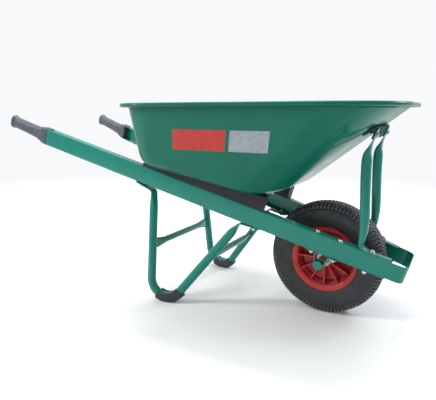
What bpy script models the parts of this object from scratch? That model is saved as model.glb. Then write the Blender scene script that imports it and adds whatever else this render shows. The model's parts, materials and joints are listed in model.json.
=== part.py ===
"""Wheelbarrow with a pressed steel tray, a bent channel chassis, tube legs and one air-filled wheel.

Metres, +Z up, +X towards the wheel, left is +Y. The origin is on the ground under the middle of
the barrow. Everything hangs from an empty on the ground below the axle, so the design dimensions
are measured from the axle: ahead is positive.
"""

import math

import bmesh
import bpy
from mathutils import Matrix, Vector

# Overall layout, measured from the axle
AXLE_X = 0.5042
AXLE_Z = 0.200
GAP = 0.0003
WELD = 0.00001
SIDES = {"left": 1, "right": -1}

# Chassis: one C channel bent round the wheel, lying in a sloping plane
RAIL_PITCH = math.radians(16.51)
RAIL_TOE = math.radians(6.46)
RAIL_TOP_Z = 0.311
RAIL_WEB_Y = 0.1243
RAIL_HEIGHT = 0.065
FLANGE_WIDTH = 0.030
CHANNEL_WALL = 0.0025
CHANNEL_BEND = 0.004
RAIL_REAR = -1.1417
NOTCH_X = 0.2377
NOSE_X = 0.2925
NOSE_BEND = 0.028

# Hand grips
GRIP_END = -1.3353
GRIP_TANG = 0.060
GRIP_TILT = math.radians(3.0)

# Tray
SHEET = 0.0012
TRAY_TOP_Z = 0.734
RIM_BEND_DROP = 0.0175
RIM_BEAD = 0.007
RIM_FLANGE_SIDE = 0.025
RIM_FLANGE_END = 0.038
MOUTH_REAR_X = -0.688
MOUTH_FRONT_X = 0.2200
MOUTH_HALF = 0.315
MOUTH_RADII = (0.135, 0.205)
FLOOR_REAR_X = -0.666
FLOOR_FRONT_X = -0.157
FLOOR_HALF_REAR = 0.252
FLOOR_HALF_FRONT = 0.200
FLOOR_RADII = (0.075, 0.120)
FLOOR_PITCH = math.radians(11.6)
FLOOR_FILLET = 0.042
FLOOR_FILLET_FRONT = 0.085
CORNER_STEPS = 7

# Wedges between the chassis and the tray
WEDGE_REAR_X = -0.655
WEDGE_FRONT_X = -0.180
WEDGE_FRONT_Z = 0.420
WEDGE_WIDTH = 0.038
WEDGE_INSET = 0.001

# Legs: one bent tube a side with flattened tabs under the channel
TUBE_R = 0.016
TAB_HALF_WIDTH = 0.018
TAB_HALF_THICK = 0.002
LEG_REAR_TAB_X = -0.695
LEG_REAR_TOP_X = -0.6228
LEG_VERTEX = (-0.6082, -0.1020)
LEG_FRONT_TOP_X = -0.2818
LEG_FRONT_TAB_X = -0.205
LEG_TAB_HANG = (0.013, 0.006)
LEG_BOLT_INSET = (0.026, 0.024)
LEG_Y = (0.1314, -0.1702, -0.1403)
SHOE_WALL = 0.003
SHOE_SOLE = 0.006
SHOE_WEAR = 0.0024
SHOE_STEPS = (4, 10)
FOOT_STEPS = 10
TAB_BEND = 0.016
BRACE_R = 0.0125
REAR_BRACE_Z = 0.209
FRONT_BRACE_Z = 0.184

# Stays from the chassis to the front of the tray
STAY_Y = 0.098
STAY_TAB_X = 0.180
STAY_FOOT_X = 0.1265
STAY_KNEE = (0.135, 0.578)
STAY_TOP = (0.1640, 0.6540)
STAY_BENDS = (0.018, 0.045)
STAY_TAB_FLAT = 0.024
STAY_FOOT_SWELL = 0.146
STAY_FOOT_BOLT_INSET = 0.013
STAY_TOP_BOLT_INSET = 0.019
BRACKET_SHEET = 0.003
BRACKET_HALF = 0.122
BRACKET_FRONT_LEG = 0.034
BRACKET_WALL_LEG = 0.058
BRACKET_BEND = 0.004
BRACKET_BOLT_Y = 0.080
BRACKET_BOLT_DROP = 0.042

# Wheel
TYRE_R = 0.200
RIM_LIP_R = 0.117
HUB_HALF = 0.045
AXLE_R = 0.0125
AXLE_BORE = 0.0095
BEARING_R = 0.0235
BEARING_HALF = 0.006
BEARING_Y = 0.0388
BALL_PITCH = 0.018
BALL_R = 0.0029
BALL_COUNT = 9
SPOKE_COUNT = 12
SPOKE_HALF_THICK = 0.002
VALVE_Z = 0.009
VALVE_R = 0.004
SPACER_R = 0.0160
SLEEVE_R = 0.0152
CAP_R = 0.0150
CAP_PLUG = 0.012
WHEEL_STEPS = 36
TUBE_STEPS = 20
BEARING_STEPS = 18

# Axle saddles and fasteners
SADDLE_Y = 0.108
SADDLE_WIDTH = 0.022
SADDLE_SHEET = 0.004
SADDLE_BOLT_SPAN = 0.039
SADDLE_FOOT = 0.013
SADDLE_FLARE = 0.0265
BOLT_R = 0.004
HOLE_R = 0.0047
BOLT_FLATS = 0.013
BOLT_HEAD = 0.0055
NUT_HEIGHT = 0.0068
CUP_HEAD_R = 0.009
BOLT_TAIL = 0.0095
LONG_BOLT_TAIL = 0.0110
TRAY_BOLT_X = (-0.545, -0.255)
TRAY_BOLT_INSET = 0.016


# ---------------------------------------------------------------- scene and materials
def clear_scene():
    for item in list(bpy.data.objects):
        bpy.data.objects.remove(item, do_unlink=True)


def make_collection(name):
    collection = bpy.data.collections.new(name)
    bpy.context.scene.collection.children.link(collection)
    return collection


def make_material(name, colour, roughness, metallic):
    material = bpy.data.materials.new(name)
    material.use_nodes = True
    shader = material.node_tree.nodes["Principled BSDF"]
    shader.inputs["Base Color"].default_value = (*colour, 1.0)
    shader.inputs["Roughness"].default_value = roughness
    shader.inputs["Metallic"].default_value = metallic
    return material


def make_empty(name, location, rotation, parent):
    empty = bpy.data.objects.new(name, None)
    empty.location = location
    empty.rotation_euler = rotation
    empty.parent = parent
    PARTS.objects.link(empty)
    return empty


def make_object(name, mesh, material, parent):
    item = bpy.data.objects.new(name, mesh)
    item.parent = parent
    mesh.materials.append(material)
    PARTS.objects.link(item)
    return item


def make_cutter(name, mesh, parent):
    item = bpy.data.objects.new(name, mesh)
    item.parent = parent
    item.hide_render = True
    item.display_type = "WIRE"
    CUTTERS.objects.link(item)
    return item


def boolean(item, cutter, operation):
    modifier = item.modifiers.new(cutter.name, "BOOLEAN")
    modifier.operation = operation
    modifier.solver = "EXACT"
    modifier.object = cutter


def smooth(mesh, angle=35):
    mesh.shade_smooth()
    mesh.set_sharp_from_angle(angle=math.radians(angle))


def finish_mesh(bm, name, angle=35):
    bmesh.ops.recalc_face_normals(bm, faces=bm.faces)
    mesh = bpy.data.meshes.new(name)
    bm.to_mesh(mesh)
    bm.free()
    smooth(mesh, angle)
    return mesh


# ---------------------------------------------------------------- shape helpers
def add_rings(bm, rings, capped=True):
    """Join rings of equal point count; capped ends close a rod, else the last ring meets the first."""
    loops = [[bm.verts.new(point) for point in ring] for ring in rings]
    count = len(loops[0])
    pairs = list(zip(loops, loops[1:]))
    if not capped:
        pairs.append((loops[-1], loops[0]))
    for low, high in pairs:
        for i in range(count):
            j = (i + 1) % count
            bm.faces.new((low[i], low[j], high[j], high[i]))
    if capped:
        bm.faces.new(loops[0])
        bm.faces.new(loops[-1])


def round_ring(radius, z, count=12):
    step = 2 * math.pi / count
    return [Vector((radius * math.cos(i * step), radius * math.sin(i * step), z)) for i in range(count)]


def hex_ring(flats, z):
    """Twelve points round a hexagon: its corners and the middles of its sides."""
    reach = [flats / math.sqrt(3), flats / 2]
    points = []
    for i in range(12):
        angle = i * math.pi / 6
        points.append(Vector((reach[i % 2] * math.cos(angle), reach[i % 2] * math.sin(angle), z)))
    return points


def add_rod(bm, matrix, radius, low, high, segments):
    """Cylinder round the matrix's Z axis, between two heights."""
    middle = Matrix.Translation((0, 0, (low + high) / 2))
    bmesh.ops.create_cone(
        bm,
        cap_ends=True,
        segments=segments,
        radius1=radius,
        radius2=radius,
        depth=high - low,
        matrix=matrix @ middle,
    )


def placed(rings, matrix):
    return [[matrix @ point for point in ring] for ring in rings]


def frame_at(point, axis):
    """Matrix whose origin is the point and whose Z runs along the axis."""
    return Matrix.Translation(point) @ Vector((0, 0, 1)).rotation_difference(axis).to_matrix().to_4x4()


def fillet(before, corner, after, radius, steps):
    """Points of an arc that rounds a 2D corner, with the arc's centre."""
    back = (before - corner).normalized()
    ahead = (after - corner).normalized()
    half = math.acos(max(-1.0, min(1.0, back.dot(ahead)))) / 2
    centre = corner + (back + ahead).normalized() * radius / math.sin(half)
    start = corner + back * radius / math.tan(half) - centre
    end = corner + ahead * radius / math.tan(half) - centre
    sweep = math.atan2(start.x * end.y - start.y * end.x, start.dot(end))
    points = []
    for i in range(steps + 1):
        turn = sweep * i / steps
        points.append(
            centre
            + Vector(
                (
                    start.x * math.cos(turn) - start.y * math.sin(turn),
                    start.x * math.sin(turn) + start.y * math.cos(turn),
                )
            )
        )
    return points, centre


def rounded_path(corners, radii, steps):
    """Open 2D path through the corners, each inner corner rounded."""
    corners = [Vector(corner) for corner in corners]
    points = [corners[0]]
    for i, radius in enumerate(radii, start=1):
        points += fillet(corners[i - 1], corners[i], corners[i + 1], radius, steps)[0]
    points.append(corners[-1])
    return points


def rounded_outline(corners, radii, steps):
    """Closed 2D outline: a list of (point, outward normal) on the rounded corners."""
    corners = [Vector(corner) for corner in corners]
    outline = []
    for i, radius in enumerate(radii):
        before = corners[i - 1]
        after = corners[(i + 1) % len(corners)]
        points, centre = fillet(before, corners[i], after, radius, steps)
        outline += [(point, (point - centre).normalized()) for point in points]
    return outline


def strip_outline(path, thickness):
    """Closed outline of a bent strip whose middle line is the 2D path."""
    near, far = [], []
    for point, tangent in zip(path, tangents(path)):
        sideways = Vector((-tangent.y, tangent.x)) * thickness / 2
        near.append(point + sideways)
        far.append(point - sideways)
    return near + far[::-1]


def outline_mesh(name, outline, thickness):
    """Plate with the outline in its XY plane, and half of the thickness on each side of it."""
    curve = bpy.data.curves.new(name, "CURVE")
    curve.dimensions = "2D"
    curve.fill_mode = "BOTH"
    curve.extrude = thickness / 2
    spline = curve.splines.new("POLY")
    spline.points.add(len(outline) - 1)
    for point, (x, y) in zip(spline.points, outline):
        point.co = (x, y, 0, 1)
    spline.use_cyclic_u = True
    flat = bpy.data.objects.new(name, curve)
    PARTS.objects.link(flat)
    graph = bpy.context.evaluated_depsgraph_get()
    loose = bpy.data.meshes.new_from_object(flat.evaluated_get(graph))
    bpy.data.objects.remove(flat)
    bm = bmesh.new()
    bm.from_mesh(loose)
    bpy.data.meshes.remove(loose)
    bmesh.ops.remove_doubles(bm, verts=bm.verts, dist=WELD)
    bmesh.ops.dissolve_limit(bm, angle_limit=math.radians(0.1), verts=bm.verts, edges=bm.edges)
    return finish_mesh(bm, name)


def stand_up(item, y):
    """Turn a plate made in XY so that its outline is seen from the side, at a distance along Y."""
    item.location.y = y
    item.rotation_euler.x = math.pi / 2


def subdivide_path(points, longest):
    """Add points on long straight stretches so that no step is longer than the limit."""
    path = [points[0]]
    for before, after in zip(points, points[1:]):
        parts = max(1, math.ceil((after - before).length / longest))
        path += [before.lerp(after, k / parts) for k in range(1, parts + 1)]
    return path


def superellipse(half_wide, half_tall, power, count, start=0.0):
    points = []
    for i in range(count):
        angle = 2 * math.pi * i / count + start
        c, s = math.cos(angle), math.sin(angle)
        x = math.copysign(abs(c) ** (2 / power), c) * half_wide
        y = math.copysign(abs(s) ** (2 / power), s) * half_tall
        points.append((x, y))
    return points


def tangents(points):
    result = []
    for i in range(len(points)):
        before = points[max(0, i - 1)]
        after = points[min(len(points) - 1, i + 1)]
        result.append((after - before).normalized())
    return result


def lengths_of(points):
    """Distance along the path to each of its points."""
    lengths = [0.0]
    for before, after in zip(points, points[1:]):
        lengths.append(lengths[-1] + (after - before).length)
    return lengths


def sweep_rings(points, section_at, wide_hint):
    """Rings along a 3D path; section_at(i) gives the 2D section of point i."""
    rings = []
    for i, tangent in enumerate(tangents(points)):
        wide = (wide_hint - tangent * wide_hint.dot(tangent)).normalized()
        thin = tangent.cross(wide)
        rings.append([points[i] + wide * x + thin * y for x, y in section_at(i)])
    return rings


def smoothstep(value):
    value = max(0.0, min(1.0, value))
    return value * value * (3 - 2 * value)


def flattened(radius, flatness, count=12):
    """Section of a round tube that is pressed flat as flatness goes to 1."""
    half_wide = radius + (TAB_HALF_WIDTH - radius) * flatness
    half_tall = radius + (TAB_HALF_THICK - radius) * flatness
    return superellipse(half_wide, half_tall, 2 + 2 * flatness, count, math.pi / count)


# ---------------------------------------------------------------- fasteners
def hex_head():
    return [hex_ring(BOLT_FLATS, GAP), hex_ring(BOLT_FLATS, GAP + BOLT_HEAD)]


def cup_head():
    return [
        round_ring(CUP_HEAD_R, GAP),
        round_ring(CUP_HEAD_R * 0.88, 0.0024),
        round_ring(CUP_HEAD_R * 0.5, 0.0042),
    ]


def make_long_bolt(name, parent, matrix, grip):
    """Hexagon head above the frame's origin; the shank runs down by the grip and the tail."""
    rings = [round_ring(BOLT_R, -grip - LONG_BOLT_TAIL), round_ring(BOLT_R, GAP), *hex_head()]
    bm = bmesh.new()
    add_rings(bm, placed(rings, matrix))
    make_object(name, finish_mesh(bm, "bolt"), ZINC, parent)


def make_bolt_with_nut(name, parent, matrix, head, grip):
    """Bolt and its tightened nut as one piece; the nut starts below the grip."""
    rings = [
        round_ring(BOLT_R, -grip - BOLT_TAIL),
        round_ring(BOLT_R, -grip - GAP - NUT_HEIGHT),
        hex_ring(BOLT_FLATS, -grip - GAP - NUT_HEIGHT),
        hex_ring(BOLT_FLATS, -grip - GAP),
        round_ring(BOLT_R, -grip - GAP),
        round_ring(BOLT_R, GAP),
        *head,
    ]
    bm = bmesh.new()
    add_rings(bm, placed(rings, matrix))
    make_object(name, finish_mesh(bm, "bolt_with_nut"), ZINC, parent)


def make_nut(name, parent, matrix):
    """Nut whose top face is just below the frame's origin."""
    bore = BOLT_R + GAP
    rings = [
        hex_ring(BOLT_FLATS, -GAP),
        hex_ring(BOLT_FLATS, -GAP - NUT_HEIGHT),
        round_ring(bore, -GAP - NUT_HEIGHT),
        round_ring(bore, -GAP),
    ]
    bm = bmesh.new()
    add_rings(bm, placed(rings, matrix), capped=False)
    make_object(name, finish_mesh(bm, "nut"), ZINC, parent)


def make_hole_cutter(name, parent, matrices, above, below):
    """One cutter with a hole for each place."""
    bm = bmesh.new()
    for matrix in matrices:
        add_rod(bm, matrix, HOLE_R, -below, above, 8)
    return make_cutter(name, finish_mesh(bm, name), parent)


# ---------------------------------------------------------------- places on the chassis
def to_plane(x, z):
    """Point of the barrow's side view in the chassis plane's own axes."""
    drop = z - RAIL_TOP_Z
    return (
        x * math.cos(RAIL_PITCH) - drop * math.sin(RAIL_PITCH),
        x * math.sin(RAIL_PITCH) + drop * math.cos(RAIL_PITCH),
    )


def rail_top(x):
    return RAIL_TOP_Z - math.tan(RAIL_PITCH) * x


def rail_bottom(x):
    return rail_top(x) - RAIL_HEIGHT / math.cos(RAIL_PITCH)


def web_y(x_plane):
    """Distance of the channel's outer face from the centre plane."""
    return RAIL_WEB_Y - math.tan(RAIL_TOE) * x_plane


def floor_z(x):
    """Height of the tray floor's underside."""
    return WEDGE_FRONT_Z - math.tan(FLOOR_PITCH) * (x - WEDGE_FRONT_X)


# ---------------------------------------------------------------- chassis
def channel_section():
    """Outer face of the C: (distance in from the web, height), from top flange to bottom flange."""
    columns = [(FLANGE_WIDTH, 0.0)]
    for i in range(4):
        angle = math.radians(30 * i)
        columns.append((CHANNEL_BEND * (1 - math.sin(angle)), -CHANNEL_BEND * (1 - math.cos(angle))))
    return columns + [(inset, -RAIL_HEIGHT - z) for inset, z in reversed(columns)]


def chassis_mesh():
    """Left half of the channel's outer face, open at the centre plane."""
    nose_corner = Vector((NOSE_X, web_y(NOSE_X)))
    rear = Vector((RAIL_REAR, web_y(RAIL_REAR)))
    notch = Vector((NOTCH_X, web_y(NOTCH_X)))
    centre_line = Vector((NOSE_X, 0.0))
    bend = fillet(rear, nose_corner, centre_line, NOSE_BEND, 6)[0]
    path = [rear, notch] + bend + [centre_line]
    section = channel_section()
    bm = bmesh.new()
    grid = []
    for i, point in enumerate(path):
        ahead = (path[min(i + 1, len(path) - 1)] - path[max(i - 1, 0)]).normalized()
        inward = Vector((-abs(ahead.y), -abs(ahead.x)))
        if i <= 1:
            inward = Vector((-math.sin(RAIL_TOE), -math.cos(RAIL_TOE)))
        grid.append([bm.verts.new((*(point + inward * inset), z)) for inset, z in section])
    web = len(section) // 2 - 1
    for i in range(len(path) - 1):
        first, last = (0, len(section) - 1) if i == 0 else (web, web + 1)
        for j in range(first, last):
            bm.faces.new((grid[i][j], grid[i + 1][j], grid[i + 1][j + 1], grid[i][j + 1]))
    loose = [vert for vert in bm.verts if not vert.link_faces]
    bmesh.ops.delete(bm, geom=loose, context="VERTS")
    mesh = bpy.data.meshes.new("chassis_channel")
    bm.to_mesh(mesh)
    bm.free()
    smooth(mesh)
    return mesh


def build_chassis(bolt_cutters):
    item = make_object("chassis_channel", chassis_mesh(), GREEN, PLANE)
    mirror = item.modifiers.new("Mirror", "MIRROR")
    mirror.use_axis = (False, True, False)
    mirror.merge_threshold = 0.0001
    shell = item.modifiers.new("Solidify", "SOLIDIFY")
    shell.thickness = CHANNEL_WALL
    shell.offset = -1
    shell.use_even_offset = True
    for cutter in bolt_cutters:
        boolean(item, cutter, "DIFFERENCE")


def rail_frame(name, side):
    """Empty on the channel's outer top edge beside the axle, X along the rail."""
    return make_empty(name, (0, side * RAIL_WEB_Y, 0), (0, 0, -side * RAIL_TOE), PLANE)


def grip_mesh(side):
    rear = RAIL_REAR / math.cos(RAIL_TOE) - GAP
    middle = Vector((0, -side * 0.0150, -RAIL_HEIGHT / 2))
    tang_half = (FLANGE_WIDTH - CHANNEL_WALL) / 2 - 2 * GAP
    tang_middle = Vector((0, -side * (CHANNEL_WALL + GAP + tang_half), -RAIL_HEIGHT / 2))
    tang_tall = RAIL_HEIGHT / 2 - CHANNEL_WALL - GAP - CHANNEL_BEND / 3
    stations = [
        (rear + GRIP_TANG, tang_middle, tang_half * 0.9, tang_tall * 0.9, 8),
        (rear, tang_middle, tang_half * 0.9, tang_tall * 0.9, 8),
        (rear, middle, 0.0165, 0.0335, 8),
        (rear - 0.018, middle, 0.0170, 0.0325, 7),
        (rear - 0.036, middle, 0.0175, 0.0280, 4),
        (rear - 0.052, middle, 0.0178, 0.0240, 3),
        (rear - 0.110, middle, 0.0178, 0.0225, 2.6),
        (GRIP_END + 0.018, middle, 0.0172, 0.0222, 2.6),
        (GRIP_END + 0.011, middle, 0.0190, 0.0240, 2.6),
        (GRIP_END + 0.008, middle, 0.0205, 0.0262, 2.6),
        (GRIP_END + 0.003, middle, 0.0205, 0.0262, 2.6),
        (GRIP_END, middle, 0.0185, 0.0240, 2.6),
    ]
    rings = []
    for x, centre, half_wide, half_tall, power in stations:
        rise = math.tan(GRIP_TILT) * max(0.0, rear - x)
        section = superellipse(half_wide, half_tall, power, 16, math.pi / 16)
        rings.append([centre + Vector((x, y, z + rise)) for y, z in section])
    bm = bmesh.new()
    add_rings(bm, rings)
    return finish_mesh(bm, "grip", 50)


def build_grip(word, side, rail):
    item = make_object(f"grip_{word}", grip_mesh(side), GRIP_PLASTIC, rail)
    rear = RAIL_REAR / math.cos(RAIL_TOE)
    bm = bmesh.new()
    size = Matrix.Diagonal((0.032, 0.018, 0.0035, 1))
    place = Matrix.Translation((rear + 0.002, -side * 0.015, GAP + 0.00175))
    bmesh.ops.create_cube(bm, size=1, matrix=place @ size)
    tongue = make_cutter(f"grip_tongue_{word}", finish_mesh(bm, "grip_tongue"), rail)
    boolean(item, tongue, "UNION")


def build_wedge(word, side, rail, bolt_cutter):
    """Black wedge that levels the tray on the sloping channel."""
    x_rear, z_rear = to_plane(WEDGE_REAR_X, floor_z(WEDGE_REAR_X))
    x_front, z_front = to_plane(WEDGE_FRONT_X, floor_z(WEDGE_FRONT_X))
    along = 1 / math.cos(RAIL_TOE)
    outline = [
        (x_rear * along, GAP),
        (x_front * along, GAP),
        (x_front * along, z_front - GAP),
        (x_rear * along, z_rear - GAP),
    ]
    item = make_object(f"wedge_{word}", outline_mesh("wedge", outline, WEDGE_WIDTH), WEDGE_PLASTIC, rail)
    stand_up(item, -side * (WEDGE_INSET + WEDGE_WIDTH / 2))
    boolean(item, bolt_cutter, "DIFFERENCE")


# ---------------------------------------------------------------- tray
def floor_level(point):
    """Lift a plan point onto the floor's upper face."""
    lift = (SHEET + 2 * GAP) / math.cos(FLOOR_PITCH)
    return Vector((point.x, point.y, floor_z(point.x) + lift))


def tray_outline(x_rear, x_front, half_rear, half_front, radii):
    corners = [(x_rear, half_rear), (x_rear, -half_rear), (x_front, -half_front), (x_front, half_front)]
    r_rear, r_front = radii
    return rounded_outline(corners, [r_rear, r_rear, r_front, r_front], CORNER_STEPS)


def tray_rings():
    """Rings of the tray's inner face, from the rolled edge of the rim down to the flat floor."""
    mouth = tray_outline(MOUTH_REAR_X, MOUTH_FRONT_X, MOUTH_HALF, MOUTH_HALF, MOUTH_RADII)
    foot = tray_outline(FLOOR_REAR_X, FLOOR_FRONT_X, FLOOR_HALF_REAR, FLOOR_HALF_FRONT, FLOOR_RADII)
    flat = tray_outline(
        FLOOR_REAR_X + FLOOR_FILLET,
        FLOOR_FRONT_X - FLOOR_FILLET_FRONT,
        FLOOR_HALF_REAR - FLOOR_FILLET,
        FLOOR_HALF_FRONT - FLOOR_FILLET,
        (FLOOR_RADII[0] - FLOOR_FILLET, FLOOR_RADII[1] - FLOOR_FILLET_FRONT),
    )
    wall_top = TRAY_TOP_Z - RIM_BEND_DROP
    columns = []
    for (edge, normal), (base, _), (inner, _) in zip(mouth, foot, flat):
        outward = Vector((*normal, 0))
        flange = RIM_FLANGE_SIDE + (RIM_FLANGE_END - RIM_FLANGE_SIDE) * normal.x ** 2
        at_edge = Vector((*edge, 0))
        bead = at_edge + outward * (flange - RIM_BEAD) + Vector((0, 0, TRAY_TOP_Z - RIM_BEAD))
        column = []
        for k in range(5):
            angle = math.radians(-170 + 55 * k)
            around = outward * math.cos(angle) + Vector((0, 0, math.sin(angle)))
            column.append(bead + around * RIM_BEAD)
        column.append(bead + Vector((0, 0, RIM_BEAD)) - outward * 0.001)
        column.append(at_edge + outward * 0.008 + Vector((0, 0, TRAY_TOP_Z)))
        column.append(at_edge + outward * 0.002 + Vector((0, 0, TRAY_TOP_Z - 0.004)))
        top = at_edge + Vector((0, 0, wall_top))
        column.append(top)
        base_point = floor_level(base)
        inner_point = floor_level(inner)
        reach = FLOOR_FILLET + (FLOOR_FILLET_FRONT - FLOOR_FILLET) * max(0.0, normal.x) ** 2
        start = base_point + (top - base_point).normalized() * reach
        for k in range(5):
            u = k / 4
            column.append(start * (1 - u) ** 2 + base_point * 2 * u * (1 - u) + inner_point * u * u)
        columns.append(column)
    return [[column[i] for column in columns] for i in range(len(columns[0]))]


def tray_mesh():
    rings = tray_rings()
    bm = bmesh.new()
    loops = [[bm.verts.new(point) for point in ring] for ring in rings]
    count = len(loops[0])
    for low, high in zip(loops, loops[1:]):
        for i in range(count):
            j = (i + 1) % count
            bm.faces.new((low[i], low[j], high[j], high[i]))
    floor = bm.faces.new(loops[-1])
    bmesh.ops.recalc_face_normals(bm, faces=bm.faces)
    floor.normal_update()
    if floor.normal.z < 0:
        bmesh.ops.reverse_faces(bm, faces=bm.faces)
    mesh = bpy.data.meshes.new("tray")
    bm.to_mesh(mesh)
    bm.free()
    smooth(mesh, 40)
    return mesh


def build_tray(bolt_cutters):
    item = make_object("tray", tray_mesh(), GREEN_GLOSS, ROOT)
    shell = item.modifiers.new("Solidify", "SOLIDIFY")
    shell.thickness = SHEET
    shell.offset = -1
    shell.use_even_offset = True
    for cutter in bolt_cutters:
        boolean(item, cutter, "DIFFERENCE")


# ---------------------------------------------------------------- legs
def leg_corners():
    """Middle line of a leg in side view; its tabs hang a little below the channel at their bends."""
    drop = (TAB_HALF_THICK + GAP) / math.cos(RAIL_PITCH)
    rear_hang, front_hang = LEG_TAB_HANG

    def under_rail(x, hang):
        return (x, rail_bottom(x) - drop - hang)

    return [
        under_rail(LEG_REAR_TAB_X, 0),
        under_rail(LEG_REAR_TOP_X, rear_hang),
        LEG_VERTEX,
        under_rail(LEG_FRONT_TOP_X, front_hang),
        under_rail(LEG_FRONT_TAB_X, 0),
    ]


def foot_bend_radius():
    """Radius of the U bend that puts the shoe on the ground."""
    before, vertex, after = [Vector(corner) for corner in leg_corners()[1:4]]
    back = (before - vertex).normalized()
    ahead = (after - vertex).normalized()
    half = back.angle(ahead) / 2
    rise = (back + ahead).normalized().y / math.sin(half) - 1
    lowest = TUBE_R + GAP + SHOE_SOLE - SHOE_WEAR
    return (lowest - vertex.y) / rise


def leg_y(x, z):
    base, per_x, per_z = LEG_Y
    return base + per_x * x + per_z * z


def foot_arc():
    _, rear_top, vertex, front_top, _ = [Vector(corner) for corner in leg_corners()]
    return fillet(rear_top, vertex, front_top, foot_bend_radius(), FOOT_STEPS)[0]


def leg_path():
    rear_tab, rear_top, vertex, front_top, front_tab = [Vector(corner) for corner in leg_corners()]
    rear_bend = fillet(rear_tab, rear_top, vertex, TAB_BEND, 4)[0]
    front_bend = fillet(vertex, front_top, front_tab, TAB_BEND, 4)[0]
    straight_down = subdivide_path([rear_bend[-1], foot_arc()[0]], 0.11)
    straight_up = subdivide_path([foot_arc()[-1], front_bend[0]], 0.11)
    path = [rear_tab] + rear_bend + straight_down[1:] + foot_arc()[1:]
    return path + straight_up[1:] + front_bend[1:] + [front_tab]


def build_leg(word, side, holes):
    path = leg_path()
    points = [Vector((p.x, side * leg_y(p.x, p.y), p.y)) for p in path]
    lengths = lengths_of(points)
    total = lengths[-1]

    def section_at(i):
        reach = min((lengths[i] - 0.070) / 0.085, (total - lengths[i] - 0.074) / 0.060)
        return flattened(TUBE_R, 1 - smoothstep(reach))

    bm = bmesh.new()
    add_rings(bm, sweep_rings(points, section_at, Vector((0, 1, 0))))
    item = make_object(f"leg_{word}", finish_mesh(bm, "leg", 45), GREEN, ROOT)
    boolean(item, holes, "DIFFERENCE")


def shoe_section():
    """Cradle that holds the tube from below, open on the inner side of the bend."""
    bore = TUBE_R + GAP
    wide = bore + SHOE_WALL
    deep = bore + SHOE_SOLE
    outer = [
        (bore * 0.86, bore),
        (wide, bore * 0.86),
        (wide, -bore * 0.30),
        (wide * 0.84, -deep * 0.78),
        (wide * 0.50, -deep),
    ]
    round_part = superellipse(bore, bore, 2, 12, math.pi / 12)
    inner = [(-bore * 0.80, bore * 0.80)] + round_part[5:] + round_part[:1] + [(bore * 0.80, bore * 0.80)]
    return outer + [(-x, y) for x, y in reversed(outer)] + inner


def build_shoe(word, side, ground):
    """Plastic cradle round the foot bend, worn flat where it stands."""
    path = leg_path()
    bend_start = foot_arc()[0]
    start = min(range(len(path)), key=lambda i: (path[i] - bend_start).length)
    centre = [Vector((p.x, side * leg_y(p.x, p.y), p.y)) for p in path]
    section = shoe_section()
    rings = sweep_rings(centre, lambda i: section, Vector((0, 1, 0)))
    rings = rings[start + SHOE_STEPS[0] : start + SHOE_STEPS[1] + 1]
    bm = bmesh.new()
    add_rings(bm, rings)
    item = make_object(f"leg_shoe_{word}", finish_mesh(bm, "leg_shoe", 45), SHOE_RUBBER, ROOT)
    boolean(item, ground, "DIFFERENCE")


def build_brace(name, x, z, wide_hint):
    """Cross tube between the legs with its ends pressed flat and tall."""
    reach = TUBE_R * 1.06 + GAP
    half = leg_y(x, z) - reach
    stops = [-1, -0.93, -0.80, -0.64, 0, 0.64, 0.80, 0.93, 1]
    points = [Vector((x, half * stop, z)) for stop in stops]

    def section_at(i):
        flatness = smoothstep((abs(stops[i]) - 0.62) / 0.36)
        tall = BRACE_R + 0.007 * flatness
        thin = BRACE_R - 0.0075 * flatness
        return superellipse(tall, thin, 2 + flatness, 12)

    rings = sweep_rings(points, section_at, wide_hint)
    for side, ring in ((-1, rings[0]), (1, rings[-1])):
        for point in ring:
            point.y = side * (leg_y(point.x, point.z) - reach)
    bm = bmesh.new()
    add_rings(bm, rings)
    make_object(name, finish_mesh(bm, name, 45), GREEN, ROOT)


def build_braces():
    top, vertex, front = [Vector(corner) for corner in leg_corners()[1:4]]
    rear_line = (top - vertex).normalized()
    front_line = (front - vertex).normalized()
    rear_x = vertex.x + rear_line.x * (REAR_BRACE_Z - vertex.y) / rear_line.y
    front_x = vertex.x + front_line.x * (FRONT_BRACE_Z - vertex.y) / front_line.y
    build_brace("leg_brace_rear", rear_x, REAR_BRACE_Z, Vector((rear_line.x, 0, rear_line.y)))
    build_brace("leg_brace_front", front_x, FRONT_BRACE_Z, Vector((front_line.x, 0, front_line.y)))


# ---------------------------------------------------------------- stays
def stay_section(length, height):
    """Tube that is pressed flat at its ends; near the foot its rear face runs on into the tab."""
    swell = max(0.0, min(1.0, (length - STAY_TAB_FLAT) / STAY_FOOT_SWELL))
    flatness = max((1 - swell) ** 2, smoothstep((height - 0.555) / 0.062))
    thicker = (TUBE_R - TAB_HALF_THICK) * (1 - flatness)
    lean = thicker * (1 - smoothstep((height - 0.26) / 0.30))
    return [(x, y - lean) for x, y in flattened(TUBE_R, flatness)]


def build_stay(word, side, holes):
    lift = (TAB_HALF_THICK + GAP) / math.cos(RAIL_PITCH)
    corners = [
        (STAY_TAB_X, rail_top(STAY_TAB_X) + lift),
        (STAY_FOOT_X, rail_top(STAY_FOOT_X) + lift),
        STAY_KNEE,
        STAY_TOP,
    ]
    path = rounded_path(corners, STAY_BENDS, 5)
    flat_end = path[0] + (path[1] - path[0]).normalized() * STAY_TAB_FLAT
    path = subdivide_path(path[:1] + [flat_end] + path[1:], 0.06)
    points = [Vector((p.x, side * STAY_Y, p.y)) for p in path]
    lengths = lengths_of(points)

    def section_at(i):
        return stay_section(lengths[i], points[i].z)

    bm = bmesh.new()
    add_rings(bm, sweep_rings(points, section_at, Vector((0, 1, 0))))
    item = make_object(f"stay_{word}", finish_mesh(bm, "stay", 45), GREEN, ROOT)
    for cutter in holes:
        boolean(item, cutter, "DIFFERENCE")


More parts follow.
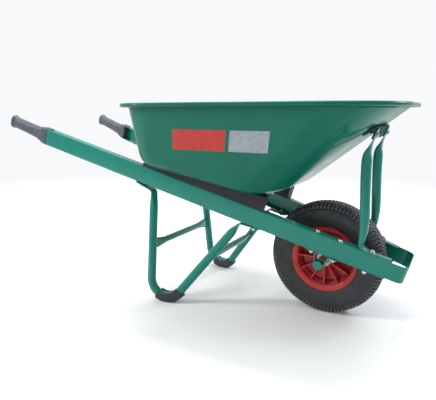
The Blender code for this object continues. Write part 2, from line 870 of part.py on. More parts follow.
def wall_frame():
    """Point and direction of the tray's front wall in side view, on its underside."""
    top = Vector((MOUTH_FRONT_X, 0, TRAY_TOP_Z - RIM_BEND_DROP))
    base = floor_level(Vector((FLOOR_FRONT_X, 0)))
    along = (top - base).normalized()
    under = Vector((along.z, 0, -along.x))
    return base + under * (SHEET + GAP), along, under


def stay_top_frame():
    """Middle of the stay's top tab and the direction that faces forward from it."""
    knee = Vector((STAY_KNEE[0], 0, STAY_KNEE[1]))
    top = Vector((STAY_TOP[0], 0, STAY_TOP[1]))
    along = (top - knee).normalized()
    return top, along, Vector((along.z, 0, -along.x))


def bracket_corners():
    """Middle line of the bent bracket: down the stays' tabs, then back along the tray wall."""
    wall, wall_along, under = wall_frame()
    top, tab_along, ahead = stay_top_frame()
    seat = -(TAB_HALF_THICK + GAP + BRACKET_SHEET / 2)
    low = top + ahead * seat - tab_along * BRACKET_FRONT_LEG
    on_wall = wall + under * (BRACKET_SHEET / 2 + GAP)
    reach = ((low - on_wall).cross(tab_along)).y / (wall_along.cross(tab_along)).y
    corner = on_wall + wall_along * reach
    return low, corner, corner - wall_along * BRACKET_WALL_LEG


def build_bracket(holes):
    path = rounded_path([(corner.x, corner.z) for corner in bracket_corners()], [BRACKET_BEND], 3)
    mesh = outline_mesh("bracket", strip_outline(path, BRACKET_SHEET), 2 * BRACKET_HALF)
    item = make_object("tray_front_bracket", mesh, GREEN_DARK, ROOT)
    stand_up(item, 0)
    for cutter in holes:
        boolean(item, cutter, "DIFFERENCE")


# ---------------------------------------------------------------- wheel
def section_mesh(name, section, closed=True):
    """Edges of a turned shape's section: (radius, height), running down its outer side."""
    edges = [(i, i + 1) for i in range(len(section) - 1)]
    if closed:
        edges.append((len(section) - 1, 0))
    mesh = bpy.data.meshes.new(name)
    mesh.from_pydata([(radius, 0, z) for radius, z in section], edges, [])
    return mesh


def turn(item, steps):
    """Sweep the item's section round its own Z."""
    screw = item.modifiers.new("Screw", "SCREW")
    screw.axis = "Z"
    screw.steps = steps
    screw.render_steps = steps
    screw.use_merge_vertices = True
    screw.merge_threshold = 0.00005
    screw.use_normal_calculate = False
    screw.use_smooth_shade = True
    return item


def turned(name, section, steps, material, parent):
    """Turned solid whose closed section keeps clear of the axis."""
    return turn(make_object(name, section_mesh(name, section), material, parent), steps)


def mirrored(half):
    """Complete an upper-half profile, listed from the outside top to the middle, with its lower half."""
    return half + [(radius, -z) for radius, z in reversed(half)]


def build_tyre():
    outer = [
        (0.1075, 0.0402),
        (0.1190, 0.0440),
        (0.1400, 0.0476),
        (0.1620, 0.0490),
        (0.1800, 0.0458),
        (0.1890, 0.0415),
        (0.1950, 0.0350),
        (0.1985, 0.0260),
        (TYRE_R, 0.0150),
    ]
    inner = [
        (0.1905, 0.0160),
        (0.1840, 0.0340),
        (0.1620, 0.0435),
        (0.1300, 0.0400),
        (0.1130, 0.0330),
        (0.1022, 0.0260),
        (0.1022, 0.0360),
    ]
    top_to_bottom = outer + [(radius, -z) for radius, z in reversed(outer)]
    back = [(radius, -z) for radius, z in reversed(inner)] + inner
    turned("tyre", top_to_bottom + back, WHEEL_STEPS, TYRE_RUBBER, WHEEL)


def ellipse_profile(centre, half_radial, half_axial, count):
    points = []
    for i in range(count):
        angle = math.pi / 2 - 2 * math.pi * i / count
        points.append((centre + half_radial * math.cos(angle), half_axial * math.sin(angle)))
    return points


def valve_rod(name, r_inner, r_outer, radius):
    """Cylinder along the wheel's radius that passes between two spokes."""
    angle = math.pi / SPOKE_COUNT
    radial = Vector((math.cos(angle), math.sin(angle), 0))
    bm = bmesh.new()
    add_rod(bm, frame_at(Vector((0, 0, VALVE_Z)), radial), radius, r_inner, r_outer, 12)
    return finish_mesh(bm, name)


def build_tube_and_valve():
    skin = ellipse_profile(0.146, 0.039, 0.037, 10)
    item = turned("inner_tube", skin, TUBE_STEPS, TYRE_RUBBER, WHEEL)
    air = section_mesh("tube_air", ellipse_profile(0.146, 0.036, 0.034, 10))
    boolean(item, turn(make_cutter("tube_air", air, WHEEL), TUBE_STEPS), "DIFFERENCE")
    hole = valve_rod("tube_valve_hole", 0.100, 0.125, VALVE_R + GAP)
    boolean(item, make_cutter("tube_valve_hole", hole, WHEEL), "DIFFERENCE")
    make_object("valve_stem", valve_rod("valve_stem", 0.070, 0.112, VALVE_R), RUBBER, WHEEL)
    cap = valve_rod("valve_cap", 0.060, 0.070 - GAP, VALVE_R + 0.0008)
    make_object("valve_cap", cap, BLACK_PLASTIC, WHEEL)


def rim_profile():
    """Rim, web and hub in one section: outer face down, then up through the inside."""
    barrel = [
        (0.1150, 0.0472),
        (RIM_LIP_R, 0.0450),
        (0.1065, 0.0410),
        (0.1016, 0.0375),
        (0.1008, 0.0240),
        (0.0930, 0.0170),
    ]
    dish = [
        (0.0880, 0.0025),
        (0.0892, 0.0150),
        (0.0962, 0.0250),
        (0.0975, 0.0370),
        (0.1030, 0.0430),
    ]
    hub = [
        (0.0160, 0.0325),
        (BEARING_R + GAP, 0.0325),
        (BEARING_R + GAP, HUB_HALF),
        (0.0290, HUB_HALF),
        (0.0305, 0.0060),
        (0.0340, 0.0025),
    ]
    upper = hub + dish
    lower = [(radius, -z) for radius, z in reversed(upper)]
    return mirrored(barrel) + lower + upper


def spoke_mesh():
    """Thin radial plates that cross the web from hub to barrel, on both faces."""
    half = [
        (0.0285, 0.0400),
        (0.0500, 0.0355),
        (0.0780, 0.0335),
        (0.0990, 0.0345),
        (0.0980, 0.0250),
        (0.0905, 0.0150),
    ]
    plate = outline_mesh("spoke", mirrored(half), 2 * SPOKE_HALF_THICK)
    plate.transform(Matrix.Rotation(math.pi / 2, 4, "X"))
    bm = bmesh.new()
    for _ in range(SPOKE_COUNT):
        bm.from_mesh(plate)
        plate.transform(Matrix.Rotation(2 * math.pi / SPOKE_COUNT, 4, "Z"))
    bpy.data.meshes.remove(plate)
    return finish_mesh(bm, "spokes")


def build_rim():
    item = turned("wheel_rim", rim_profile(), WHEEL_STEPS, RED, WHEEL)
    boolean(item, make_cutter("spokes", spoke_mesh(), WHEEL), "UNION")
    hole = valve_rod("rim_valve_hole", 0.080, 0.099, VALVE_R + GAP)
    boolean(item, make_cutter("rim_valve_hole", hole, WHEEL), "DIFFERENCE")


def build_bearing(word, side):
    centre = side * BEARING_Y
    groove = BALL_R + 0.0008

    def groove_points(sign):
        points = []
        for angle in (-50, 0, 50):
            lean = math.radians(angle)
            radius = BALL_PITCH + sign * groove * math.cos(lean)
            points.append((radius, centre - groove * math.sin(lean)))
        return points

    top = centre + BEARING_HALF
    low = centre - BEARING_HALF
    land = BALL_PITCH + 0.0022
    outer = [(BEARING_R, top), (BEARING_R, low), (land, low)] + groove_points(1)[::-1] + [(land, top)]
    turned(f"bearing_outer_{word}", outer, BEARING_STEPS, STEEL, WHEEL)
    bore = AXLE_R + GAP
    shoulder = BALL_PITCH - 0.0022
    inner = [(shoulder, top)] + groove_points(-1) + [(shoulder, low), (bore, low), (bore, top)]
    turned(f"bearing_inner_{word}", inner, BEARING_STEPS, STEEL, HUB_FRAME)
    cage = [
        (BALL_PITCH + 0.0008, centre + 0.0012),
        (BALL_PITCH + 0.0008, centre - 0.0012),
        (BALL_PITCH - 0.0008, centre - 0.0012),
        (BALL_PITCH - 0.0008, centre + 0.0012),
    ]
    race = turned(f"bearing_balls_{word}", cage, 2 * BALL_COUNT, CHROME, WHEEL)
    bm = bmesh.new()
    for k in range(BALL_COUNT):
        spin = Matrix.Rotation(2 * math.pi * k / BALL_COUNT, 4, "Z")
        place = Matrix.Translation(spin @ Vector((BALL_PITCH, 0, centre)))
        bmesh.ops.create_uvsphere(bm, u_segments=6, v_segments=4, radius=BALL_R, matrix=place)
    balls = make_cutter(f"balls_{word}", finish_mesh(bm, "balls", 80), WHEEL)
    boolean(race, balls, "UNION")


# ---------------------------------------------------------------- axle
def build_axle():
    end = SADDLE_Y + SADDLE_WIDTH / 2 + 0.0002
    tube = [(AXLE_R, end), (AXLE_R, -end), (AXLE_BORE, -end), (AXLE_BORE, end)]
    turned("axle", tube, BEARING_STEPS, GREEN, HUB_FRAME)
    inner_end = BEARING_Y - BEARING_HALF - GAP
    sleeve = [(SLEEVE_R, inner_end), (SLEEVE_R, -inner_end)]
    sleeve += [(AXLE_R + GAP, -inner_end), (AXLE_R + GAP, inner_end)]
    turned("bearing_spacer", sleeve, BEARING_STEPS, STEEL, HUB_FRAME)
    for word, side in SIDES.items():
        near = side * (BEARING_Y + BEARING_HALF + GAP)
        far = side * (SADDLE_Y - SADDLE_WIDTH / 2 - GAP)
        top, low = max(near, far), min(near, far)
        spacer = [(SPACER_R, top), (SPACER_R, low), (AXLE_R + GAP, low), (AXLE_R + GAP, top)]
        turned(f"axle_spacer_{word}", spacer, BEARING_STEPS, ZINC, HUB_FRAME)
        build_axle_cap(word, side, end)


def build_axle_cap(word, side, end):
    """Painted disc with a plug that closes the axle tube."""
    section = [
        (0, end + 0.0035),
        (CAP_R - 0.0015, end + 0.0035),
        (CAP_R, end + 0.0025),
        (CAP_R, end + GAP),
        (AXLE_BORE - GAP, end + GAP),
        (AXLE_BORE - GAP, end - CAP_PLUG),
        (0, end - CAP_PLUG),
    ]
    if side < 0:
        section = [(radius, -z) for radius, z in reversed(section)]
    name = f"axle_cap_{word}"
    turn(make_object(name, section_mesh(name, section, closed=False), GREEN, HUB_FRAME), BEARING_STEPS)


def saddle_outline():
    """Strap in side view, in the chassis plane's axes: feet under the flange, a U below the axle."""
    x, z = to_plane(0, AXLE_Z)
    top = -RAIL_HEIGHT - GAP - SADDLE_SHEET / 2
    reach = SADDLE_BOLT_SPAN + SADDLE_FOOT
    hug = AXLE_R + GAP + SADDLE_SHEET / 2
    right = [(x + reach, top), (x + SADDLE_FLARE, top), (x + hug, z + 0.004)]
    path = rounded_path([*right, (x + hug, z)], [0.004, 0.010], 3)
    angles = [-math.pi * k / 10 for k in range(1, 5)]
    arc = [Vector((x + hug * math.cos(angle), z + hug * math.sin(angle))) for angle in angles]
    half_path = path + arc + [Vector((x, z - hug))]
    mirror = [Vector((2 * x - p.x, p.y)) for p in half_path[:-1]][::-1]
    return strip_outline(half_path + mirror, SADDLE_SHEET)


def build_saddle(word, side, holes):
    mesh = outline_mesh("saddle", saddle_outline(), SADDLE_WIDTH)
    item = make_object(f"axle_saddle_{word}", mesh, GREEN, PLANE)
    stand_up(item, side * SADDLE_Y)
    boolean(item, holes, "DIFFERENCE")


# ---------------------------------------------------------------- fastener places
def saddle_places(z):
    x = to_plane(0, AXLE_Z)[0]
    places = {}
    for word, side in SIDES.items():
        places[f"{word}_rear"] = Matrix.Translation((x - SADDLE_BOLT_SPAN, side * SADDLE_Y, z))
        places[f"{word}_front"] = Matrix.Translation((x + SADDLE_BOLT_SPAN, side * SADDLE_Y, z))
    return places


def leg_places(z):
    places = {}
    rear, front = LEG_BOLT_INSET
    for end, x in (("rear", LEG_REAR_TAB_X + rear), ("front", LEG_FRONT_TAB_X - front)):
        x_plane = to_plane(x, rail_bottom(x))[0]
        y = web_y(x_plane) - FLANGE_WIDTH / 2
        for word, side in SIDES.items():
            places[f"{word}_{end}"] = Matrix.Translation((x_plane, side * y, z))
    return places


def leg_bolt_grip(end):
    """From the flange's inner face to where a nut clears the sloping tab."""
    corners = leg_corners()
    free, bent = (corners[0], corners[1]) if end == "rear" else (corners[4], corners[3])
    inset = LEG_BOLT_INSET[0 if end == "rear" else 1]
    (x_free, z_free), (x_bent, z_bent) = to_plane(*free), to_plane(*bent)
    tilt = math.atan2(z_free - z_bent, abs(x_bent - x_free))
    reach = inset / math.cos(RAIL_PITCH) + BOLT_FLATS / math.sqrt(3)
    below = TAB_HALF_THICK + GAP + reach * math.tan(tilt) + TAB_HALF_THICK / math.cos(tilt)
    return CHANNEL_WALL + below + GAP


def stay_foot_places(z):
    x = STAY_TAB_X - STAY_FOOT_BOLT_INSET
    x_plane = to_plane(x, rail_top(x))[0]
    return {word: Matrix.Translation((x_plane, side * STAY_Y, z)) for word, side in SIDES.items()}


def tray_places():
    """Frames on the tray floor, Z along the floor's normal."""
    up = Vector((math.sin(FLOOR_PITCH), 0, math.cos(FLOOR_PITCH)))
    places = {}
    for end, x in zip(("rear", "front"), TRAY_BOLT_X):
        x_plane = to_plane(x, rail_top(x))[0]
        y = web_y(x_plane) - TRAY_BOLT_INSET
        for word, side in SIDES.items():
            places[f"{word}_{end}"] = frame_at(floor_level(Vector((x, side * y))), up)
    return places


def stay_top_places(offset):
    """Frames on the stays' top tabs, Z facing forward."""
    top, along, ahead = stay_top_frame()
    point = top - along * STAY_TOP_BOLT_INSET + ahead * offset
    return {
        word: frame_at(point + Vector((0, side * STAY_Y, 0)), ahead) for word, side in SIDES.items()
    }


def bracket_places(offset):
    """Frames on the tray's front wall above the bracket, Z pointing into the tray."""
    corner = bracket_corners()[1]
    _, along, under = wall_frame()
    middle = corner - along * BRACKET_BOLT_DROP - under * offset
    return {
        word: frame_at(middle + Vector((0, side * BRACKET_BOLT_Y, 0)), -under)
        for word, side in SIDES.items()
    }


def make_hole_cutters():
    through_rail = RAIL_HEIGHT + SADDLE_SHEET + 0.010
    through_wedge = 0.066
    return {
        "saddle": make_hole_cutter(
            "saddle_holes", PLANE, saddle_places(0).values(), 0.010, through_rail
        ),
        "leg": make_hole_cutter(
            "leg_holes", PLANE, leg_places(-RAIL_HEIGHT).values(), 0.010, 0.016
        ),
        "stay_foot": make_hole_cutter(
            "stay_foot_holes", PLANE, stay_foot_places(0).values(), 0.010, through_rail
        ),
        "tray": make_hole_cutter("tray_holes", ROOT, tray_places().values(), 0.010, through_wedge),
        "stay_top": make_hole_cutter(
            "stay_top_holes", ROOT, stay_top_places(0).values(), 0.006, 0.008
        ),
        "bracket": make_hole_cutter(
            "bracket_holes", ROOT, bracket_places(0).values(), 0.010, 0.010
        ),
    }


def make_ground_cutter():
    """Block below the ground, which wears the shoes flat."""
    bm = bmesh.new()
    size = Matrix.Diagonal((0.200, 0.600, 0.020, 1))
    bmesh.ops.create_cube(bm, size=1, matrix=Matrix.Translation((LEG_VERTEX[0], 0, -0.010)) @ size)
    return make_cutter("ground", finish_mesh(bm, "ground"), ROOT)


def build_rail_fasteners():
    strap_low = -RAIL_HEIGHT - GAP - SADDLE_SHEET
    for word, place in saddle_places(0).items():
        make_long_bolt(f"saddle_bolt_{word}", PLANE, place, -strap_low)
    for word, place in saddle_places(strap_low).items():
        make_nut(f"saddle_nut_{word}", PLANE, place)
    tab = 2 * TAB_HALF_THICK + 2 * GAP
    for word, place in stay_foot_places(tab).items():
        make_long_bolt(f"stay_foot_bolt_{word}", PLANE, place, tab + RAIL_HEIGHT)
    for word, place in stay_foot_places(-RAIL_HEIGHT).items():
        make_nut(f"stay_foot_nut_{word}", PLANE, place)
    for word, place in leg_places(-RAIL_HEIGHT + CHANNEL_WALL).items():
        grip = leg_bolt_grip(word.split("_")[1])
        make_bolt_with_nut(f"leg_bolt_{word}", PLANE, place, hex_head(), grip)


def build_tray_fasteners():
    """Cup heads inside the tray; the nuts clear the channel's top wall, which slopes past them."""
    tilt = math.cos(RAIL_PITCH - FLOOR_PITCH)
    for word, place in tray_places().items():
        point = place.to_translation()
        drop = (point.z - rail_top(point.x)) * math.cos(RAIL_PITCH) / tilt
        grip = drop + CHANNEL_WALL / tilt + 0.0012
        make_bolt_with_nut(f"tray_bolt_{word}", ROOT, place, cup_head(), grip)
    tab = TAB_HALF_THICK + GAP
    grip = 2 * tab + BRACKET_SHEET
    for word, place in stay_top_places(tab).items():
        make_bolt_with_nut(f"stay_top_bolt_{word}", ROOT, place, hex_head(), grip)
    inside = BRACKET_SHEET / 2 + 2 * GAP + SHEET
    for word, place in bracket_places(inside).items():
        make_bolt_with_nut(
            f"bracket_bolt_{word}", ROOT, place, cup_head(), inside + BRACKET_SHEET / 2
        )


# ---------------------------------------------------------------- assembly
clear_scene()
PARTS = make_collection("wheelbarrow")
CUTTERS = make_collection("cutters")

GREEN = make_material("green_paint", (0.030, 0.215, 0.150), 0.35, 0.0)
GREEN_GLOSS = make_material("green_gloss", (0.026, 0.200, 0.135), 0.22, 0.0)
GREEN_DARK = make_material("green_dark", (0.015, 0.090, 0.060), 0.35, 0.0)
GRIP_PLASTIC = make_material("grip_plastic", (0.075, 0.080, 0.090), 0.60, 0.0)
WEDGE_PLASTIC = make_material("wedge_plastic", (0.035, 0.034, 0.045), 0.55, 0.0)
SHOE_RUBBER = make_material("shoe_rubber", (0.045, 0.045, 0.050), 0.60, 0.0)
TYRE_RUBBER = make_material("tyre_rubber", (0.022, 0.024, 0.028), 0.70, 0.0)
RUBBER = make_material("valve_rubber", (0.020, 0.020, 0.022), 0.60, 0.0)
BLACK_PLASTIC = make_material("black_plastic", (0.020, 0.020, 0.020), 0.45, 0.0)
RED = make_material("red_plastic", (0.560, 0.028, 0.022), 0.35, 0.0)
STEEL = make_material("bearing_steel", (0.560, 0.560, 0.570), 0.25, 1.0)
CHROME = make_material("ball_steel", (0.700, 0.700, 0.710), 0.10, 1.0)
ZINC = make_material("zinc_plate", (0.600, 0.610, 0.620), 0.35, 1.0)

ROOT = make_empty("wheelbarrow_root", (AXLE_X, 0, 0), (0, 0, 0), None)
PLANE = make_empty("chassis_plane", (0, 0, RAIL_TOP_Z), (0, RAIL_PITCH, 0), ROOT)
HUB_FRAME = make_empty("axle_line", (0, 0, AXLE_Z), (-math.pi / 2, 0, 0), ROOT)
WHEEL = make_empty("wheel_axis", (0, 0, AXLE_Z), (-math.pi / 2, 0, 0), ROOT)

holes = make_hole_cutters()
ground_block = make_ground_cutter()
build_chassis([holes["saddle"], holes["leg"], holes["stay_foot"], holes["tray"]])
build_tray([holes["tray"], holes["bracket"]])
build_braces()
build_bracket([holes["stay_top"], holes["bracket"]])
build_tyre()
build_tube_and_valve()
build_rim()
build_axle()
build_rail_fasteners()
build_tray_fasteners()
for side_word, side_sign in SIDES.items():
    side_rail = rail_frame(f"rail_{side_word}", side_sign)
    build_grip(side_word, side_sign, side_rail)
    build_wedge(side_word, side_sign, side_rail, holes["tray"])
    build_leg(side_word, side_sign, holes["leg"])
    build_shoe(side_word, side_sign, ground_block)
    build_stay(side_word, side_sign, [holes["stay_foot"], holes["stay_top"]])
    build_saddle(side_word, side_sign, holes["saddle"])
    build_bearing(side_word, side_sign)
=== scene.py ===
"""Looks for the wheelbarrow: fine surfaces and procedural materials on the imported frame.

Metres, in the row frame: +X towards the wheel, +Y to the user's left, +Z up. Shapes are laid out
from the axle, as the design is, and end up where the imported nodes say.
"""

import json
import math
from contextlib import contextmanager

import bmesh
import bpy
from mathutils import Matrix, Vector
from mathutils.bvhtree import BVHTree


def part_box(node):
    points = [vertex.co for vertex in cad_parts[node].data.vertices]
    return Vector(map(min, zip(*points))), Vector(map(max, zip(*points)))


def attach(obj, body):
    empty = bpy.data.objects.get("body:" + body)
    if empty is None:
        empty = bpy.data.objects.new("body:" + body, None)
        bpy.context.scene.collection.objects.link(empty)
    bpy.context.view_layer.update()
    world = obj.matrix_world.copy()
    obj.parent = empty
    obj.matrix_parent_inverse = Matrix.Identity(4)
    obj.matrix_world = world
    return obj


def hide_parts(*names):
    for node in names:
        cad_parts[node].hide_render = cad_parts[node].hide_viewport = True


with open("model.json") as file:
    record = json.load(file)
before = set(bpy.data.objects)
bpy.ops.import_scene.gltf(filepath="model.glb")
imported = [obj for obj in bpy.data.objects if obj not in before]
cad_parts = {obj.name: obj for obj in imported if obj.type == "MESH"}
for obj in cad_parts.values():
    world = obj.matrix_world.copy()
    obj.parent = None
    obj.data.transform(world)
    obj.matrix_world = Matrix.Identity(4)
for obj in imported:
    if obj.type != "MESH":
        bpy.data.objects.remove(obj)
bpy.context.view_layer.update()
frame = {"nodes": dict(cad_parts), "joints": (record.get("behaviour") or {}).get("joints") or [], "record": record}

# ---------------------------------------------------------------- dimensions from the frame
RECORD = frame["record"]
MOUNTS = {mount["name"]: mount for mount in RECORD["mounts"]}
AXLE = Vector(frame["joints"][0]["pos_m"])
NOSE_AXIS = Vector(MOUNTS["nose_face"]["axis"])
RAIL_PITCH = math.atan2(-NOSE_AXIS.z, NOSE_AXIS.x)
TRAY_LOW, TRAY_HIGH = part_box("tray")
TYRE_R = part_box("tyre")[1].z / 2
GAP = 0.0003
SIDES = {"left": 1, "right": -1}

# Distances along X are from the axle. A pair is (rear, front) where no comment says otherwise

# Chassis
RAIL_TOE = math.radians(6.46)
RAIL_TOP_Z = 0.311
RAIL_WEB_Y = 0.1243
RAIL_HEIGHT = 0.065
FLANGE_WIDTH = 0.030
CHANNEL_WALL = 0.0025
CHANNEL_BEND = 0.004
RAIL_REAR = -1.1417
NOTCH_X = 0.2377
NOSE_X = 0.2925
NOSE_BEND = 0.028
GRIP_END = -1.3353
GRIP_TILT = math.radians(3.0)
# Half length and half width
GRIP_LIP_HALF = (0.0155, 0.0088)

# Tray
SHEET = 0.0012
FLOOR_PITCH = math.radians(11.6)
FLOOR_AXIS = Vector((math.sin(FLOOR_PITCH), 0, math.cos(FLOOR_PITCH)))
TRAY_TOP_Z = TRAY_HIGH.z
RIM_BEND_DROP = 0.0175
RIM_BEAD = 0.007
RIM_FLANGE_SIDE = 0.025
RIM_FLANGE_END = 0.038
RIM_BEND_START = 0.010
RIM_BEND_TOP = 0.0005
MOUTH_HALF = TRAY_HIGH.y - RIM_FLANGE_SIDE
MOUTH_REAR_X = TRAY_LOW.x + RIM_FLANGE_END - AXLE.x
MOUTH_FRONT_X = TRAY_HIGH.x - RIM_FLANGE_END - AXLE.x
FLOOR_REAR_X = -0.666
FLOOR_FRONT_X = -0.157
FLOOR_HALF_REAR = 0.252
FLOOR_HALF_FRONT = 0.200
FLOOR_FILLET = 0.042
FLOOR_FILLET_FRONT = 0.085
MOUTH_CORNERS = (0.135, 0.205)
FLOOR_CORNERS = (0.075, 0.120)
WEDGE_FRONT_X = -0.180
WEDGE_FRONT_Z = 0.420

# Tubes
TUBE_R = 0.016
TAB_HALF_WIDTH = 0.018
TAB_HALF_THICK = 0.002
LEG_REAR_TAB_X = -0.695
LEG_REAR_TOP_X = -0.6228
LEG_FRONT_TOP_X = -0.2818
LEG_FRONT_TAB_X = -0.205
# (x, z) where the lines of the leg's two halves meet
LEG_VERTEX = (-0.6082, -0.1020)
# Pairs (rear, front)
LEG_TAB_HANG = (0.013, 0.006)
LEG_BOLT_INSET = (0.026, 0.024)
LEG_TAB_BEND = 0.016
# Length of the flat tab, length over which it grows round
LEG_REAR_SWELL = (0.070, 0.085)
LEG_FRONT_SWELL = (0.074, 0.060)
# Distance from the middle at the axle's place on the ground, slope along X, slope along Z
LEG_Y = (0.1314, -0.1702, -0.1403)
TAB_CORNER = 0.009
TAB_END_LOSS = 0.55
SHOE_WALL = 0.003
SHOE_SOLE = 0.006
SHOE_WEAR = 0.0024
# Shares of the foot's bend where the shoe starts and ends
SHOE_SPAN = (0.4, 1.0)
# Radii from the lip down to the sole
SHOE_CORNERS = (0.0008, 0.0018, 0.0200, 0.0120)
SHOE_OPENING = 0.26
SHOE_END_SWELL = 0.55
BRACE_R = 0.0125
BRACE_WIDER = 0.007
BRACE_THINNER = 0.0075
BRACE_FLAT_FROM = 0.62
BRACE_FLAT_OVER = 0.36
BRACE_CLEARANCE = 1.06
BRACE_HEIGHTS = {"rear": 0.209, "front": 0.184}
STAY_Y = 0.098
STAY_TAB_X = 0.180
STAY_FOOT_X = 0.1265
# (x, z) in side view
STAY_KNEE = (0.135, 0.578)
STAY_TOP = (0.1640, 0.6540)
# Radii at the foot and at the knee
STAY_BENDS = (0.018, 0.045)
STAY_TAB_FLAT = 0.024
STAY_FOOT_SWELL = 0.146
# Height where it starts, height over which it goes on
STAY_TOP_PRESS = (0.555, 0.062)
STAY_LEAN_FADE = (0.26, 0.30)
STAY_BOLT_INSET = 0.013
STAY_TOP_BOLT_DROP = 0.019
BRACKET_SHEET = 0.003
BRACKET_HALF = 0.122
BRACKET_LEG_FRONT = 0.034
BRACKET_LEG_WALL = 0.058
BRACKET_BEND = 0.004
BRACKET_BOLT_DROP = 0.042
BRACKET_BOLT_Y = 0.080

# Wheel
RIM_LIP_R = 0.117
HUB_HALF = 0.045
AXLE_R = 0.0125
BEARING_R = 0.0235
BEARING_HALF = 0.006
BEARING_Y = 0.0388
SPOKE_COUNT = 12
SPOKE_HALF_THICK = 0.002
VALVE_OFFSET = 0.009
# Distances from the axle
VALVE_STEM_SPAN = (0.070, 0.112)
VALVE_CAP_SPAN = (0.060, 0.0697)
# (share of the length, radius)
VALVE_STEM = [(0, 0.0034), (0.02, 0.0040), (0.8, 0.0040), (1, 0.0040)]
VALVE_CAP = [(0, 0.0030), (0.10, 0.0046), (0.2, 0.0048), (0.8, 0.0048), (0.97, 0.0048), (1, 0.0044)]
WHEEL_STEPS = 180
LUG_COUNT = 88

# Axle, bearings and straps
SADDLE_Y = 0.108
SADDLE_WIDTH = 0.022
SADDLE_SHEET = 0.004
SADDLE_BOLT_SPAN = 0.039
SADDLE_TOE = 0.013
SADDLE_FOOT = 0.0265
SADDLE_STRAIGHT = 0.004
# Radii at the foot and above the U
SADDLE_BENDS = (0.004, 0.010)
BALL_PITCH = 0.018
BALL_R = 0.0029
BALL_COUNT = 9
BALL_GROOVE = 0.0037
RING_HALF_GAP = 0.0022
# Half thickness and half height
CAGE_HALF = (0.0008, 0.0012)
AXLE_TUBE_WALL = 0.003
AXLE_PROUD = 0.0002
SLEEVE_R = 0.0160

# Fasteners
BOLT_R = 0.004
BOLT_FLATS = 0.013
NUT_HEIGHT = 0.0068
FLANGE_R = 0.0085
CUP_R = 0.009
CUP_HEIGHT = 0.0039
THREAD_PITCH = 0.00125
THREAD_DEPTH = 0.00035
LONG_TAIL = 0.0110
SHORT_TAIL = 0.0095
TRAY_BOLT_X = {"rear": -0.545, "front": -0.255}
TRAY_BOLT_INSET = 0.016
TRAY_BOLT_SLACK = 0.0012


# ---------------------------------------------------------------- placing
ROOT = Matrix.Translation((AXLE.x, 0, 0))
PLANE = Matrix.Translation((AXLE.x, 0, RAIL_TOP_Z)) @ Matrix.Rotation(RAIL_PITCH, 4, "Y")
HUB = Matrix.Translation(AXLE) @ Matrix.Rotation(-math.pi / 2, 4, "X")


def rail_matrix(side):
    """Frame of one rail: X along it, Z off its top flange, with its origin on the web."""
    web = Matrix.Translation((0, side * RAIL_WEB_Y, 0))
    return PLANE @ web @ Matrix.Rotation(-side * RAIL_TOE, 4, "Z")


def rail_top(x):
    """Height of the channel's top at a distance from the axle."""
    return RAIL_TOP_Z - math.tan(RAIL_PITCH) * x


def rail_bottom(x):
    return rail_top(x) - RAIL_HEIGHT / math.cos(RAIL_PITCH)


def web_y(x_plane):
    """How far the channel's outer face is from the middle."""
    return RAIL_WEB_Y - math.tan(RAIL_TOE) * x_plane


def floor_top(x):
    """Height of the tray floor's upper face."""
    underside = WEDGE_FRONT_Z - math.tan(FLOOR_PITCH) * (x - WEDGE_FRONT_X)
    return underside + (SHEET + 2 * GAP) / math.cos(FLOOR_PITCH)


def to_plane(x, z):
    """A point of the side view as (distance along, height over) the channel's top plane."""
    drop = z - RAIL_TOP_Z
    return (
        x * math.cos(RAIL_PITCH) - drop * math.sin(RAIL_PITCH),
        x * math.sin(RAIL_PITCH) + drop * math.cos(RAIL_PITCH),
    )


# ---------------------------------------------------------------- shape helpers
def in_scene(name, data):
    """An object in the scene that holds the data."""
    item = bpy.data.objects.new(name, data)
    bpy.context.scene.collection.objects.link(item)
    return item


def mesh_of(name, points, faces):
    mesh = bpy.data.meshes.new(name)
    mesh.from_pydata([tuple(point) for point in points], [], faces)
    return mesh


@contextmanager
def edited(mesh):
    """The mesh as a bmesh, which is written back at the end."""
    bm = bmesh.new()
    bm.from_mesh(mesh)
    yield bm
    bm.to_mesh(mesh)
    bm.free()


def ring_faces(rows, count, wrap=False):
    """Quads between closed rows of points; a wrapped list of rows joins its last row to its first."""
    faces = []
    for i in range(rows if wrap else rows - 1):
        a, b = i * count, ((i + 1) % rows) * count
        for j in range(count):
            k = (j + 1) % count
            faces.append((a + j, a + k, b + k, b + j))
    return faces


def end_faces(rows, count):
    """The faces that close the first and the last row."""
    return [tuple(range(count)), tuple(range((rows - 1) * count, rows * count))]


def ring_mesh(name, rings, caps=False, wrap=False, angle=40):
    """Mesh through rings of equal point count."""
    rows, count = len(rings), len(rings[0])
    faces = ring_faces(rows, count, wrap)
    if caps:
        faces += end_faces(rows, count)
    return tidy_mesh(mesh_of(name, [point for ring in rings for point in ring], faces), angle)


def smoothed(mesh, angle):
    """Smooth faces, with the edges sharper than the angle marked."""
    mesh.shade_smooth()
    mesh.set_sharp_from_angle(angle=math.radians(angle))
    return mesh


def tidy_mesh(mesh, angle=40):
    """Faces out, smooth, with its sharp edges marked."""
    with edited(mesh) as bm:
        bmesh.ops.recalc_face_normals(bm, faces=bm.faces)
    return smoothed(mesh, angle)


def joined(name, meshes, angle=40):
    """One mesh from several, which are used up."""
    whole = bpy.data.meshes.new(name)
    with edited(whole) as bm:
        for mesh in meshes:
            bm.from_mesh(mesh)
            bpy.data.meshes.remove(mesh)
    return smoothed(whole, angle)


def turned_mesh(name, profile, steps=WHEEL_STEPS, wrap=True):
    """Solid of revolution round the axle; the profile is a list of (radius, distance along it)."""
    rings = []
    for radius, z in profile:
        rings.append([HUB @ point for point in round_ring(radius, z, steps)])
    return ring_mesh(name, rings, caps=not wrap, wrap=wrap, angle=35)


def round_ring(radius, z, count=24):
    """Circle of points round the Z axis."""
    step = 2 * math.pi / count
    return [Vector((radius * math.cos(i * step), radius * math.sin(i * step), z)) for i in range(count)]


